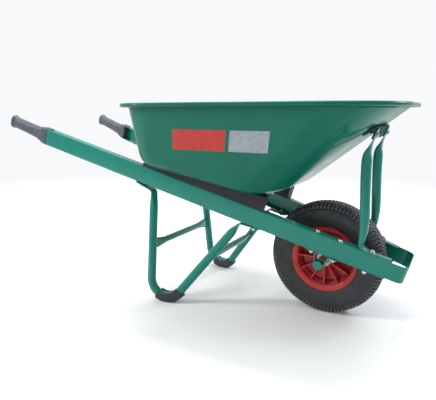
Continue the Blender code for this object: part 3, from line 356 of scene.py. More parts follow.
def fillet(before, corner, after, radius, steps):
    """Points of an arc that rounds a 2D corner, with the arc's centre."""
    back = (before - corner).normalized()
    ahead = (after - corner).normalized()
    half = math.acos(max(-1.0, min(1.0, back.dot(ahead)))) / 2
    centre = corner + (back + ahead).normalized() * radius / math.sin(half)
    start = corner + back * radius / math.tan(half) - centre
    end = corner + ahead * radius / math.tan(half) - centre
    sweep = math.atan2(start.x * end.y - start.y * end.x, start.dot(end))
    points = []
    for i in range(steps + 1):
        c, s = math.cos(sweep * i / steps), math.sin(sweep * i / steps)
        points.append(centre + Vector((start.x * c - start.y * s, start.x * s + start.y * c)))
    return points, centre


def tight_fillet(before, corner, after, radius, steps):
    """Points of an arc that rounds a corner, with its radius cut where the sides are short."""
    room = 0.45 * min((before - corner).length, (after - corner).length)
    turn = (before - corner).angle(after - corner)
    return fillet(before, corner, after, min(radius, room * math.tan(turn / 2)), steps)[0]


def rounded_path(corners, radii, steps):
    """Open 2D path with its inner corners rounded."""
    corners = [Vector(corner) for corner in corners]
    points = [corners[0]]
    for i, radius in enumerate(radii, start=1):
        points += fillet(corners[i - 1], corners[i], corners[i + 1], radius, steps)[0]
    points.append(corners[-1])
    return points


def rounded_outline(corners, radii, steps):
    """Closed 2D outline as (point, outward normal), with a few points on its straight sides too."""
    parts = 8
    corners = [Vector(corner) for corner in corners]
    arcs = []
    for i, radius in enumerate(radii):
        before, after = corners[i - 1], corners[(i + 1) % len(corners)]
        points, centre = fillet(before, corners[i], after, radius, steps)
        arcs.append([(point, (point - centre).normalized()) for point in points])
    outline = []
    for i, arc in enumerate(arcs):
        outline += arc
        (start, n_start), (end, n_end) = arc[-1], arcs[(i + 1) % len(arcs)][0]
        for k in range(1, parts):
            share = k / parts
            outline.append((start.lerp(end, share), n_start.lerp(n_end, share).normalized()))
    return outline


def subdivide_path(points, longest):
    """The path with its long stretches cut into equal parts."""
    path = [points[0]]
    for before, after in zip(points, points[1:]):
        parts = max(1, math.ceil((after - before).length / longest))
        path += [before.lerp(after, k / parts) for k in range(1, parts + 1)]
    return path


def superellipse(half_wide, half_tall, power, count=32):
    """Oval section that gets squarer with the power."""
    points = []
    for i in range(count):
        angle = 2 * math.pi * i / count
        c, s = math.cos(angle), math.sin(angle)
        x = math.copysign(abs(c) ** (2 / power), c) * half_wide
        y = math.copysign(abs(s) ** (2 / power), s) * half_tall
        points.append((x, y))
    return points


def tangents(points):
    last = len(points) - 1
    return [(points[min(last, i + 1)] - points[max(0, i - 1)]).normalized() for i in range(last + 1)]


def sweep_rings(points, section_at, wide_hint=Vector((0, 1, 0))):
    """Rings of section_at(i) along the points, with the section's first axis near the hint."""
    rings = []
    for i, tangent in enumerate(tangents(points)):
        wide = (wide_hint - tangent * wide_hint.dot(tangent)).normalized()
        thin = tangent.cross(wide)
        rings.append([points[i] + wide * x + thin * y for x, y in section_at(i)])
    return rings


def smoothstep(value):
    value = max(0.0, min(1.0, value))
    return value * value * (3 - 2 * value)


def flattened(flatness):
    """Section of a round tube that is pressed flat as flatness goes to 1."""
    half_wide = TUBE_R + (TAB_HALF_WIDTH - TUBE_R) * flatness
    half_tall = TUBE_R + (TAB_HALF_THICK - TUBE_R) * flatness
    return superellipse(half_wide, half_tall, 2 + 2 * flatness)


def curve_through(controls, steps):
    """Quadratic curve with three control points."""
    a, b, c = controls
    points = []
    for k in range(steps + 1):
        u = k / steps
        points.append(a * (1 - u) ** 2 + b * 2 * u * (1 - u) + c * u * u)
    return points


def lengths_of(points):
    """Distance of each point from the first one, along the path."""
    lengths = [0.0]
    for before, after in zip(points, points[1:]):
        lengths.append(lengths[-1] + (after - before).length)
    return lengths


def strip_outline(path, thickness):
    """Closed outline of a bent strip whose middle line is the 2D path."""
    near, far = [], []
    for point, tangent in zip(path, tangents(path)):
        sideways = Vector((-tangent.y, tangent.x)) * thickness / 2
        near.append(point + sideways)
        far.append(point - sideways)
    return near + far[::-1]


def piece(name, mesh, material, nodes=(), body="frame", bevel=0.0):
    """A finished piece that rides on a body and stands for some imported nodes."""
    item = in_scene(name, mesh)
    mesh.materials.append(material)
    if bevel:
        edge = item.modifiers.new("Bevel", "BEVEL")
        edge.width = bevel
        edge.segments = 2
        edge.limit_method = "ANGLE"
        edge.angle_limit = math.radians(40)
        edge.harden_normals = True
    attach(item, body)
    if nodes:
        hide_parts(*nodes)


# ---------------------------------------------------------------- material helpers
def map_range(tree, value, low, high, out_low, out_high):
    """Map Range node on a socket; returns its result."""
    node = tree.nodes.new("ShaderNodeMapRange")
    tree.links.new(value, node.inputs["Value"])
    numbers = {"From Min": low, "From Max": high, "To Min": out_low, "To Max": out_high}
    for key, number in numbers.items():
        node.inputs[key].default_value = number
    return node.outputs["Result"]


class Shader:
    """Short names for the nodes that the materials share."""

    def __init__(self, name, roughness, metallic=0.0, specular=0.5, coat=0.0, coat_roughness=0.05):
        self.material = bpy.data.materials.new(name)
        self.material.use_nodes = True
        self.tree = self.material.node_tree
        self.shader = self.tree.nodes["Principled BSDF"]
        self.shader.inputs["Roughness"].default_value = roughness
        self.shader.inputs["Metallic"].default_value = metallic
        self.shader.inputs["Specular IOR Level"].default_value = specular
        self.shader.inputs["Coat Weight"].default_value = coat
        self.shader.inputs["Coat Roughness"].default_value = coat_roughness
        self.place = self.node("ShaderNodeTexCoord").outputs["Object"]

    def node(self, kind, **settings):
        node = self.tree.nodes.new(kind)
        for key, value in settings.items():
            setattr(node, key, value)
        return node

    def link(self, source, target):
        self.tree.links.new(source, target)

    def noise(self, scale, detail=3.0, roughness=0.55, stretch=None):
        node = self.node("ShaderNodeTexNoise")
        node.inputs["Scale"].default_value = scale
        node.inputs["Detail"].default_value = detail
        node.inputs["Roughness"].default_value = roughness
        self.link(self.stretched(stretch), node.inputs["Vector"])
        return node.outputs["Fac"]

    def stretched(self, stretch):
        if stretch is None:
            return self.place
        scale, turn = stretch
        node = self.node("ShaderNodeMapping", vector_type="TEXTURE")
        node.inputs["Rotation"].default_value = turn
        node.inputs["Scale"].default_value = scale
        self.link(self.place, node.inputs["Vector"])
        return node.outputs["Vector"]

    def cells(self, scale):
        node = self.node("ShaderNodeTexVoronoi")
        node.inputs["Scale"].default_value = scale
        self.link(self.place, node.inputs["Vector"])
        return node.outputs["Distance"]

    def remap(self, value, low, high, out_low=0.0, out_high=1.0):
        return map_range(self.tree, value, low, high, out_low, out_high)

    def maths(self, operation, first, second=None):
        node = self.node("ShaderNodeMath", operation=operation)
        for socket, value in zip(node.inputs, (first, second)):
            if isinstance(value, (int, float)):
                socket.default_value = value
            elif value is not None:
                self.link(value, socket)
        return node.outputs["Value"]

    def mix(self, amount, first, second):
        """Colour mix; each colour is a socket or a linear RGB triple."""
        node = self.node("ShaderNodeMix", data_type="RGBA")
        self.link(amount, node.inputs[0])
        for socket, value in ((node.inputs[6], first), (node.inputs[7], second)):
            if isinstance(value, tuple):
                socket.default_value = (*value, 1.0)
            else:
                self.link(value, socket)
        return node.outputs[2]

    def bump(self, height, strength, distance):
        node = self.node("ShaderNodeBump")
        node.inputs["Strength"].default_value = strength
        node.inputs["Distance"].default_value = distance
        self.link(height, node.inputs["Height"])
        before = self.shader.inputs["Normal"].links
        if before:
            self.link(before[0].from_socket, node.inputs["Normal"])
        self.link(node.outputs["Normal"], self.shader.inputs["Normal"])

    def clouded(self, colour, scale, detail, darker, lighter):
        """The colour with soft darker and lighter patches."""
        cloud = self.remap(self.noise(scale, detail), 0.35, 0.65)
        return self.mix(cloud, scaled(colour, darker), scaled(colour, lighter))

    def dusted(self, body, patches, tint):
        """The colour with dust where the patches lie on faces that look up."""
        return self.mix(self.maths("MULTIPLY", self.upward(), patches), body, tint)

    def colour(self, socket):
        self.link(socket, self.shader.inputs["Base Color"])

    def rough(self, scale, detail, low, high):
        """Roughness that drifts between two numbers."""
        drift = self.remap(self.noise(scale, detail), 0.3, 0.7, low, high)
        self.link(drift, self.shader.inputs["Roughness"])

    def coordinate(self):
        node = self.node("ShaderNodeSeparateXYZ")
        self.link(self.place, node.inputs["Vector"])
        return node.outputs

    def upward(self):
        """How far a face looks up, from 0 to 1."""
        node = self.node("ShaderNodeSeparateXYZ")
        self.link(self.node("ShaderNodeNewGeometry").outputs["Normal"], node.inputs["Vector"])
        return self.remap(node.outputs["Z"], 0.2, 1.0)

    def edges(self, radius):
        """Mask of the convex and concave edges, from a rounded normal."""
        rounded = self.node("ShaderNodeBevel", samples=4)
        rounded.inputs["Radius"].default_value = radius
        product = self.node("ShaderNodeVectorMath", operation="DOT_PRODUCT")
        self.link(rounded.outputs["Normal"], product.inputs[0])
        self.link(self.node("ShaderNodeNewGeometry").outputs["Normal"], product.inputs[1])
        return self.remap(product.outputs["Value"], 0.97, 0.80)


def mixed(colour, other, amount):
    return tuple(a + (b - a) * amount for a, b in zip(colour, other))


def scaled(colour, factor):
    return tuple(min(1.0, value * factor) for value in colour)


def paint(name, colour, roughness, grain_turn=(0, 0, 0), coat=0.40, specular=0.20):
    """Stove paint on steel: mottled gloss, orange peel, rubbed edges, fine scratches and dust."""
    s = Shader(name, roughness, specular=specular, coat=coat, coat_roughness=0.05)
    body = s.clouded(colour, 5.0, 4.0, 0.94, 1.06)
    speck = s.remap(s.noise(420.0, 2.0), 0.45, 0.75, 0.0, 0.20)
    body = s.mix(speck, body, scaled(colour, 1.4))
    lines = s.noise(9.0, 6.0, 0.75, stretch=((14.0, 0.35, 0.35), grain_turn))
    scratch = s.remap(lines, 0.675, 0.71, 0.0, 0.16)
    body = s.mix(scratch, body, mixed(colour, (0.30, 0.50, 0.46), 0.50))
    patch = s.remap(s.noise(38.0, 3.0), 0.46, 0.62)
    rubbed = s.maths("MULTIPLY", s.maths("MULTIPLY", s.edges(0.0016), patch), 0.30)
    body = s.mix(rubbed, body, mixed(colour, (0.40, 0.55, 0.52), 0.5))
    dust = s.remap(s.noise(16.0, 5.0), 0.40, 0.80, 0.01, 0.07)
    s.colour(s.dusted(body, dust, (0.32, 0.34, 0.31)))
    s.rough(24.0, 4.0, roughness - 0.04, roughness + 0.06)
    s.bump(s.noise(260.0, 1.5), 0.03, 0.0006)
    s.bump(s.noise(14.0, 2.0), 0.02, 0.002)
    return s.material


def moulded(name, colour, roughness, grain=900.0, specular=0.5, scuff=0.25):
    """Moulded plastic with a spark-eroded grain and pale scuffs."""
    s = Shader(name, roughness, specular=specular)
    body = s.clouded(colour, 22.0, 4.0, 0.82, 1.18)
    streaks = s.noise(60.0, 6.0, 0.7, stretch=((3.0, 0.6, 0.6), (0, 0.3, 0)))
    scuffs = s.remap(streaks, 0.60, 0.74, 0.0, scuff)
    body = s.mix(scuffs, body, mixed(colour, (0.45, 0.46, 0.50), 0.5))
    dust = s.remap(s.noise(34.0, 4.0), 0.40, 0.75, 0.05, 0.22)
    s.colour(s.dusted(body, dust, (0.30, 0.31, 0.34)))
    s.rough(45.0, 3.0, roughness - 0.08, roughness + 0.10)
    s.bump(s.cells(grain), 0.22, 0.0005)
    return s.material


def plated(name, colour, roughness):
    """Zinc plate or ground steel: metal with cloudy grain and faint tarnish."""
    s = Shader(name, roughness, metallic=1.0)
    body = s.clouded(colour, 180.0, 4.0, 0.80, 1.12)
    stain = s.remap(s.noise(70.0, 3.0), 0.58, 0.72, 0.0, 0.5)
    s.colour(s.mix(stain, body, mixed(colour, (0.36, 0.34, 0.26), 0.6)))
    s.rough(240.0, 3.0, roughness - 0.08, roughness + 0.14)
    s.bump(s.noise(700.0, 2.0), 0.10, 0.0003)
    return s.material


# ---------------------------------------------------------------- fastener shapes
def hex_ring(z, limit):
    """Hexagon of points with its corners cut to a circle of the limit's radius."""
    ring = []
    for i in range(24):
        angle = i * math.pi / 12
        off_flat = (angle + math.pi / 6) % (math.pi / 3) - math.pi / 6
        reach = min(limit, BOLT_FLATS / 2 / math.cos(off_flat))
        ring.append(Vector((reach * math.cos(angle), reach * math.sin(angle), z)))
    return ring


def hex_block(low, high):
    """Chamfered hexagon between two heights."""
    corner = BOLT_FLATS / math.sqrt(3)
    chamfer = 0.0009
    return [
        hex_ring(low, corner - chamfer),
        hex_ring(low + chamfer / 2, corner),
        hex_ring(high - chamfer / 2, corner),
        hex_ring(high, corner - chamfer),
    ]


def thread(low, high):
    """Rings of a threaded end, from its tip up."""
    pitch, root = THREAD_PITCH, BOLT_R - THREAD_DEPTH
    rings = [round_ring(root - 2 * THREAD_DEPTH, low), round_ring(root, low + pitch / 2)]
    turns = int((high - low - pitch) / pitch)
    for k in range(turns):
        z = low + pitch * (k + 1)
        rings.append(round_ring(BOLT_R, z))
        rings.append(round_ring(root, z + pitch / 2))
    return rings + [round_ring(BOLT_R, high)]


def flanged_head():
    """Hexagon on a round flange."""
    flange = GAP + 0.0012
    return [
        round_ring(FLANGE_R, GAP),
        round_ring(FLANGE_R, GAP + 0.0007),
        round_ring(FLANGE_R - 0.0012, flange),
        *hex_block(flange, flange + 0.0043),
    ]


def cup_head():
    """Low dome with a tiny flat on top."""
    flat = 0.0002
    rings = [round_ring(CUP_R, GAP)]
    for degrees in range(15, 91, 15):
        angle = math.radians(degrees)
        rings.append(round_ring(CUP_R * math.cos(angle) + flat, GAP + CUP_HEIGHT * math.sin(angle)))
    return rings


def bolt_mesh(name, place, head, grip, tail, nut):
    """Head above the place's origin, shank and thread below it; the nut is tightened under the grip."""
    low = -grip - tail
    if nut:
        top = -grip - GAP
        rings = thread(low, top - NUT_HEIGHT) + hex_block(top - NUT_HEIGHT, top)
        rings.append(round_ring(BOLT_R, top))
    else:
        rings = thread(low, low + min(tail, 0.020))
    rings += [round_ring(BOLT_R, GAP), *head]
    return ring_mesh(name, [[place @ point for point in ring] for ring in rings], caps=True)


def nut_mesh(name, place):
    rings = hex_block(-GAP - NUT_HEIGHT, -GAP)
    bore = BOLT_R + GAP
    rings += [round_ring(bore, -GAP), round_ring(bore, -GAP - NUT_HEIGHT)]
    return ring_mesh(name, [[place @ point for point in ring] for ring in rings], wrap=True)


def frame_at(point, axis):
    """Matrix whose origin is the point and whose Z runs along the axis."""
    return Matrix.Translation(point) @ Vector((0, 0, 1)).rotation_difference(axis).to_matrix().to_4x4()


def sheeted(mesh, thickness):
    """The surface as a sheet whose given face is the outer one."""
    item = in_scene(mesh.name, mesh)
    wall = item.modifiers.new("Solidify", "SOLIDIFY")
    wall.thickness = thickness
    wall.offset = -1
    wall.use_even_offset = True
    graph = bpy.context.evaluated_depsgraph_get()
    result = bpy.data.meshes.new_from_object(item.evaluated_get(graph))
    bpy.data.objects.remove(item)
    return tidy_mesh(result)


# ---------------------------------------------------------------- chassis
def channel_section():
    """Outer face of the C: (distance in from the web, height), from top flange to bottom flange."""
    columns = [(FLANGE_WIDTH, 0.0), (FLANGE_WIDTH / 2, 0.0)]
    steps = 6
    for i in range(steps + 1):
        angle = math.pi / 2 * i / steps
        columns.append((CHANNEL_BEND * (1 - math.sin(angle)), -CHANNEL_BEND * (1 - math.cos(angle))))
    return columns + [(inset, -RAIL_HEIGHT - z) for inset, z in reversed(columns)]


def chassis_mesh():
    """The channel bent round the nose, with its flanges cut away from the notch on."""
    nose_corner = Vector((NOSE_X, web_y(NOSE_X)))
    rear = Vector((RAIL_REAR, web_y(RAIL_REAR)))
    notch = Vector((NOTCH_X, web_y(NOTCH_X)))
    bend = fillet(rear, nose_corner, Vector((NOSE_X, 0.0)), NOSE_BEND, 14)[0]
    half = subdivide_path([rear, notch], 0.05) + bend
    path = half + [Vector((point.x, -point.y)) for point in reversed(half)]
    rail_steps = len(half) - len(bend) - 1
    section = channel_section()
    web = len(section) // 2 - 1
    points, faces = [], []
    for i, (point, ahead) in enumerate(zip(path, tangents(path))):
        inward = Vector((ahead.y, -ahead.x))
        from_end = min(i, len(path) - 1 - i)
        if from_end <= rail_steps:
            side = 1 if i < len(half) else -1
            inward = Vector((-math.sin(RAIL_TOE), -side * math.cos(RAIL_TOE)))
        points += [(*(point + inward * inset), z) for inset, z in section]
        if i + 1 == len(path):
            break
        on_rail = min(i, len(path) - 2 - i) < rail_steps
        first, last = (0, len(section) - 1) if on_rail else (web, web + 1)
        for j in range(first, last):
            a = i * len(section) + j
            faces.append((a, a + len(section), a + len(section) + 1, a + 1))
    mesh = mesh_of("fine_chassis", [PLANE @ Vector(point) for point in points], faces)
    with edited(mesh) as bm:
        bmesh.ops.delete(bm, geom=[vert for vert in bm.verts if not vert.link_faces], context="VERTS")
    return sheeted(mesh, CHANNEL_WALL)


# ---------------------------------------------------------------- tray
def tray_outline(x_rear, x_front, half_rear, half_front, r_rear, r_front):
    """Four-cornered plan with its rear and its front corners rounded."""
    corners = [(x_rear, half_rear), (x_rear, -half_rear), (x_front, -half_front), (x_front, half_front)]
    return rounded_outline(corners, [r_rear, r_rear, r_front, r_front], 18)


def tray_rings():
    """Rings of the tray's inner face, from the rolled edge of the rim down to the flat floor."""
    mouth = tray_outline(MOUTH_REAR_X, MOUTH_FRONT_X, MOUTH_HALF, MOUTH_HALF, *MOUTH_CORNERS)
    foot = tray_outline(FLOOR_REAR_X, FLOOR_FRONT_X, FLOOR_HALF_REAR, FLOOR_HALF_FRONT, *FLOOR_CORNERS)
    inset = FLOOR_FILLET
    flat = tray_outline(
        FLOOR_REAR_X + inset,
        FLOOR_FRONT_X - FLOOR_FILLET_FRONT,
        FLOOR_HALF_REAR - inset,
        FLOOR_HALF_FRONT - inset,
        FLOOR_CORNERS[0] - inset,
        FLOOR_CORNERS[1] - FLOOR_FILLET_FRONT,
    )
    up = Vector((0, 0, 1))
    columns = []
    for (edge, normal), (base, _), (inner, _) in zip(mouth, foot, flat):
        outward = Vector((*normal, 0))
        flange = RIM_FLANGE_SIDE + (RIM_FLANGE_END - RIM_FLANGE_SIDE) * normal.x ** 2
        at_edge = Vector((*edge, TRAY_TOP_Z))
        bead = at_edge + outward * (flange - RIM_BEAD) - up * RIM_BEAD
        column = []
        for degrees in range(-170, 91, 20):
            angle = math.radians(degrees)
            column.append(bead + (outward * math.cos(angle) + up * math.sin(angle)) * RIM_BEAD)
        bend_start, bend_top = at_edge + outward * RIM_BEND_START, at_edge + outward * RIM_BEND_TOP
        wall_top = at_edge - up * RIM_BEND_DROP
        column += curve_through((bend_start, bend_top, wall_top), 8)
        base_point = Vector((*base, floor_top(base.x)))
        inner_point = Vector((*inner, floor_top(inner.x)))
        reach = FLOOR_FILLET + (FLOOR_FILLET_FRONT - FLOOR_FILLET) * max(0.0, normal.x) ** 2
        start = base_point + (wall_top - base_point).normalized() * reach
        column += [wall_top.lerp(start, k / 8) for k in range(1, 8)]
        column += curve_through((start, base_point, inner_point), 12)
        columns.append(column)
    return [[ROOT @ column[i] for column in columns] for i in range(len(columns[0]))]


def tray_mesh():
    """Sheet whose given face is the tray's inside, with the flat floor as its last face."""
    rings = tray_rings()
    rows, count = len(rings), len(rings[0])
    faces = ring_faces(rows, count) + end_faces(rows, count)[1:]
    mesh = mesh_of("fine_tray", [point for ring in rings for point in ring], faces)
    with edited(mesh) as bm:
        bmesh.ops.recalc_face_normals(bm, faces=bm.faces)
        bm.faces.ensure_lookup_table()
        if bm.faces[-1].normal.z < 0:
            bmesh.ops.reverse_faces(bm, faces=bm.faces)
    return sheeted(mesh, SHEET)


# ---------------------------------------------------------------- legs
def under_rail(x, hang=0.0):
    """Middle of a tab below the channel in side view."""
    return Vector((x, rail_bottom(x) - (TAB_HALF_THICK + GAP) / math.cos(RAIL_PITCH) - hang))


# Middle line in side view; the tabs hang a little below the channel at their bends
LEG_CORNERS = [
    under_rail(LEG_REAR_TAB_X),
    under_rail(LEG_REAR_TOP_X, LEG_TAB_HANG[0]),
    Vector(LEG_VERTEX),
    under_rail(LEG_FRONT_TOP_X, LEG_TAB_HANG[1]),
    under_rail(LEG_FRONT_TAB_X),
]


def leg_y(x, z):
    """How far the leg's plane, which leans and splays, is from the middle."""
    base, per_x, per_z = LEG_Y
    return base + per_x * x + per_z * z


def foot_arc(steps=40):
    """Points of the U bend that puts the shoe on the ground."""
    before, vertex, after = LEG_CORNERS[1:4]
    back = (before - vertex).normalized()
    ahead = (after - vertex).normalized()
    rise = (back + ahead).normalized().y / math.sin(back.angle(ahead) / 2) - 1
    lowest = TUBE_R + GAP + SHOE_SOLE - SHOE_WEAR
    return fillet(before, vertex, after, (lowest - vertex.y) / rise, steps)[0]


def on_leg(point, side):
    return ROOT @ Vector((point.x, side * leg_y(point.x, point.y), point.y))


def tab_end(reach):
    """Share of the full width that a tab has at this distance from its rounded end."""
    gone = max(0.0, 1 - reach / TAB_CORNER)
    return 1 - TAB_END_LOSS * (1 - math.sqrt(1 - gone * gone))


def with_end_stations(points):
    """The path with a few close points at each end, where its tabs are rounded."""
    reaches = (0.0004, 0.0012, 0.0028)
    first = [points[0] + (points[1] - points[0]).normalized() * reach for reach in reaches]
    last = [points[-1] + (points[-2] - points[-1]).normalized() * reach for reach in reaches]
    return points[:1] + first + points[1:-1] + last[::-1] + points[-1:]


def narrowed(section, share):
    return [(x * share, y) for x, y in section]


def leg_mesh(side):
    rear_tab, rear_top, vertex, front_top, front_tab = LEG_CORNERS
    foot = foot_arc()
    path = [rear_tab] + fillet(rear_tab, rear_top, vertex, LEG_TAB_BEND, 8)[0] + foot
    path += fillet(vertex, front_top, front_tab, LEG_TAB_BEND, 8)[0] + [front_tab]
    points = with_end_stations([on_leg(p, side) for p in subdivide_path(path, 0.008)])
    lengths = lengths_of(points)
    total = lengths[-1]

    def section_at(i):
        ends = (lengths[i], LEG_REAR_SWELL), (total - lengths[i], LEG_FRONT_SWELL)
        swell = min((length - start) / span for length, (start, span) in ends)
        to_end = min(lengths[i], total - lengths[i])
        return narrowed(flattened(1 - smoothstep(swell)), tab_end(to_end))

    return ring_mesh("fine_leg", sweep_rings(points, section_at), caps=True)


def shoe_section(swell):
    """Cradle that holds the tube from below, open on the inner side of the bend."""
    bore = TUBE_R + GAP
    wide = bore + SHOE_WALL * swell
    deep = bore + SHOE_SOLE * swell
    lip = bore * 0.80
    outline = [
        (lip, lip),
        (bore * 0.86, bore),
        (wide, bore * 0.86),
        (wide, -bore * 0.30),
        (wide * 0.84, -deep * 0.78),
        (wide * 0.50, -deep),
    ]
    corners = [Vector(corner) for corner in outline]
    half = []
    for before, corner, after, radius in zip(corners, corners[1:], corners[2:], SHOE_CORNERS):
        half += tight_fillet(before, corner, after, radius, 4)
    half.append(corners[-1])
    outer = [(p.x, p.y) for p in half] + [(-p.x, p.y) for p in reversed(half)]
    round_part = []
    steps = 24
    for k in range(steps + 1):
        angle = math.pi - SHOE_OPENING + (math.pi + 2 * SHOE_OPENING) * k / steps
        round_part.append((bore * math.cos(angle), bore * math.sin(angle)))
    return outer + [(-lip, lip)] + round_part + [(lip, lip)]


def shoe_mesh(side):
    """Cradle under the foot bend with rounded ends, worn flat where it stands."""
    steps = 60
    arc = foot_arc(steps)
    first, last = [round(share * steps) for share in SHOE_SPAN]
    centre = [on_leg(point, side) for point in arc]

    def section_at(i):
        to_end = max(0.0, 1 - min(abs(i - first), abs(last - i)) / 2)
        return shoe_section(SHOE_END_SWELL + (1 - SHOE_END_SWELL) * math.sqrt(1 - to_end ** 2))

    rings = sweep_rings(centre, section_at)[first : last + 1]
    for ring in rings:
        for point in ring:
            point.z = max(point.z, 0.0)
    return ring_mesh("fine_shoe", rings, caps=True, angle=50)


def brace_mesh(name, x, z, wide_hint):
    """Cross tube between the legs with its ends pressed flat and tall."""
    reach = TUBE_R * BRACE_CLEARANCE + GAP
    half = leg_y(x, z) - reach
    steps = 60
    stops = [2 * k / steps - 1 for k in range(steps + 1)]
    points = [Vector((x, half * stop, z)) for stop in stops]

    def section_at(i):
        flatness = smoothstep((abs(stops[i]) - BRACE_FLAT_FROM) / BRACE_FLAT_OVER)
        half_wide, half_tall = BRACE_R + BRACE_WIDER * flatness, BRACE_R - BRACE_THINNER * flatness
        return superellipse(half_wide, half_tall, 2 + flatness)

    rings = sweep_rings(points, section_at, wide_hint)
    for side, ring in ((-1, rings[0]), (1, rings[-1])):
        for point in ring:
            point.y = side * (leg_y(point.x, point.z) - reach)
    mesh = ring_mesh(name, rings, caps=True)
    mesh.transform(ROOT)
    return mesh


def brace_meshes():
    rear, vertex, front = LEG_CORNERS[1:4]
    meshes = {}
    for word, end in (("rear", rear), ("front", front)):
        z = BRACE_HEIGHTS[word]
        line = (end - vertex).normalized()
        x = vertex.x + line.x * (z - vertex.y) / line.y
        meshes[word] = brace_mesh(f"fine_brace_{word}", x, z, Vector((line.x, 0, line.y)))
    return meshes


# ---------------------------------------------------------------- stays and bracket
def stay_section(length, height):
    """Tube that is pressed flat at its ends; near the foot its rear face runs on into the tab."""
    swell = max(0.0, min(1.0, (length - STAY_TAB_FLAT) / STAY_FOOT_SWELL))
    pressed = smoothstep((height - STAY_TOP_PRESS[0]) / STAY_TOP_PRESS[1])
    flatness = max((1 - swell) ** 2, pressed)
    thicker = (TUBE_R - TAB_HALF_THICK) * (1 - flatness)
    lean = thicker * (1 - smoothstep((height - STAY_LEAN_FADE[0]) / STAY_LEAN_FADE[1]))
    return [(x, y - lean) for x, y in flattened(flatness)]


def stay_mesh(side):
    lift = (TAB_HALF_THICK + GAP) / math.cos(RAIL_PITCH)
    corners = [
        (STAY_TAB_X, rail_top(STAY_TAB_X) + lift),
        (STAY_FOOT_X, rail_top(STAY_FOOT_X) + lift),
        STAY_KNEE,
        STAY_TOP,
    ]
    path = subdivide_path(rounded_path(corners, STAY_BENDS, 12), 0.006)
    points = with_end_stations([ROOT @ Vector((p.x, side * STAY_Y, p.y)) for p in path])
    lengths = lengths_of(points)

    def section_at(i):
        section = stay_section(lengths[i], points[i].z)
        return narrowed(section, tab_end(min(lengths[i], lengths[-1] - lengths[i])))

    return ring_mesh("fine_stay", sweep_rings(points, section_at), caps=True)


def wall_frame():
    """Point and direction of the tray's front wall in side view, on its underside."""
    top = Vector((MOUTH_FRONT_X, 0, TRAY_TOP_Z - RIM_BEND_DROP))
    base = Vector((FLOOR_FRONT_X, 0, floor_top(FLOOR_FRONT_X)))
    along = (top - base).normalized()
    under = Vector((along.z, 0, -along.x))
    return base + under * (SHEET + GAP), along, under


def stay_top_frame():
    """Middle of the stay's top tab and the direction that faces forward from it."""
    knee = Vector((STAY_KNEE[0], 0, STAY_KNEE[1]))
    top = Vector((STAY_TOP[0], 0, STAY_TOP[1]))
    along = (top - knee).normalized()
    return top, along, Vector((along.z, 0, -along.x))


def bracket_corners():
    """Middle line of the bent bracket: down the stays' tabs, then back along the tray wall."""
    wall, wall_along, under = wall_frame()
    top, tab_along, ahead = stay_top_frame()
    seat = -(TAB_HALF_THICK + GAP + BRACKET_SHEET / 2)
    low = top + ahead * seat - tab_along * BRACKET_LEG_FRONT
    on_wall = wall + under * (BRACKET_SHEET / 2 + GAP)
    reach = ((low - on_wall).cross(tab_along)).y / (wall_along.cross(tab_along)).y
    corner = on_wall + wall_along * reach
    return low, corner, corner - wall_along * BRACKET_LEG_WALL


def extruded(name, outline, y_low, y_high, matrix):
    """Solid between two side faces of the same 2D outline."""
    rings = [[matrix @ Vector((p.x, y, p.y)) for p in outline] for y in (y_low, y_high)]
    return ring_mesh(name, rings, caps=True, angle=30)


def bracket_mesh():
    low, corner, tail = bracket_corners()
    path = rounded_path([(p.x, p.z) for p in (low, corner, tail)], [BRACKET_BEND], 8)
    outline = strip_outline(path, BRACKET_SHEET)
    return extruded("fine_bracket", outline, -BRACKET_HALF, BRACKET_HALF, ROOT)


# ---------------------------------------------------------------- grips
def grip_mesh(side):
    """Handle moulded over the channel's end, with a square collar, a round waist and an end flange."""
    rear = RAIL_REAR / math.cos(RAIL_TOE) - GAP
    middle = Vector((0, -side * FLANGE_WIDTH / 2, -RAIL_HEIGHT / 2))
    # Distance along the rail, half width, half height, squareness
    stations = [
        (rear, 0.0155, 0.0325, 8),
        (rear - 0.001, 0.0165, 0.0335, 8),
        (rear - 0.018, 0.0170, 0.0325, 7),
        (rear - 0.036, 0.0175, 0.0280, 4),
        (rear - 0.052, 0.0178, 0.0240, 3),
        (rear - 0.110, 0.0178, 0.0225, 2.6),
        (GRIP_END + 0.018, 0.0172, 0.0222, 2.6),
        (GRIP_END + 0.011, 0.0190, 0.0240, 2.6),
        (GRIP_END + 0.008, 0.0205, 0.0262, 2.6),
        (GRIP_END + 0.003, 0.0205, 0.0262, 2.6),
        (GRIP_END + 0.0008, 0.0195, 0.0250, 2.6),
        (GRIP_END, 0.0175, 0.0230, 2.6),
    ]
    matrix = rail_matrix(side)
    rings = []
    for before, after in zip(stations, stations[1:] + stations[-1:]):
        parts = max(1, math.ceil(abs(after[0] - before[0]) / 0.004))
        for k in range(parts):
            share = smoothstep(k / parts)
            x = before[0] + (after[0] - before[0]) * k / parts
            wide, tall, power = [a + (b - a) * share for a, b in zip(before[1:], after[1:])]
            rise = Vector((x, 0, math.tan(GRIP_TILT) * max(0.0, rear - x)))
            ring = superellipse(wide, tall, power, 56)
            rings.append([matrix @ (middle + rise + Vector((0, y, z))) for y, z in ring])
    return ring_mesh("fine_grip", rings, caps=True, angle=50)


def tongue_mesh(side):
    """Thin lip of the grip that lies on the channel's end."""
    rear = RAIL_REAR / math.cos(RAIL_TOE)
    overlap = 0.0025
    matrix = rail_matrix(side) @ Matrix.Translation((rear + overlap, -side * FLANGE_WIDTH / 2, 0))
    outline = superellipse(*GRIP_LIP_HALF, 8)
    rings = []
    for z, share in ((GAP, 1.0), (GAP + 0.0025, 1.0), (GAP + 0.0034, 0.94)):
        rings.append([matrix @ Vector((x * share, y * share, z)) for x, y in outline])
    return ring_mesh("fine_tongue", rings, caps=True)


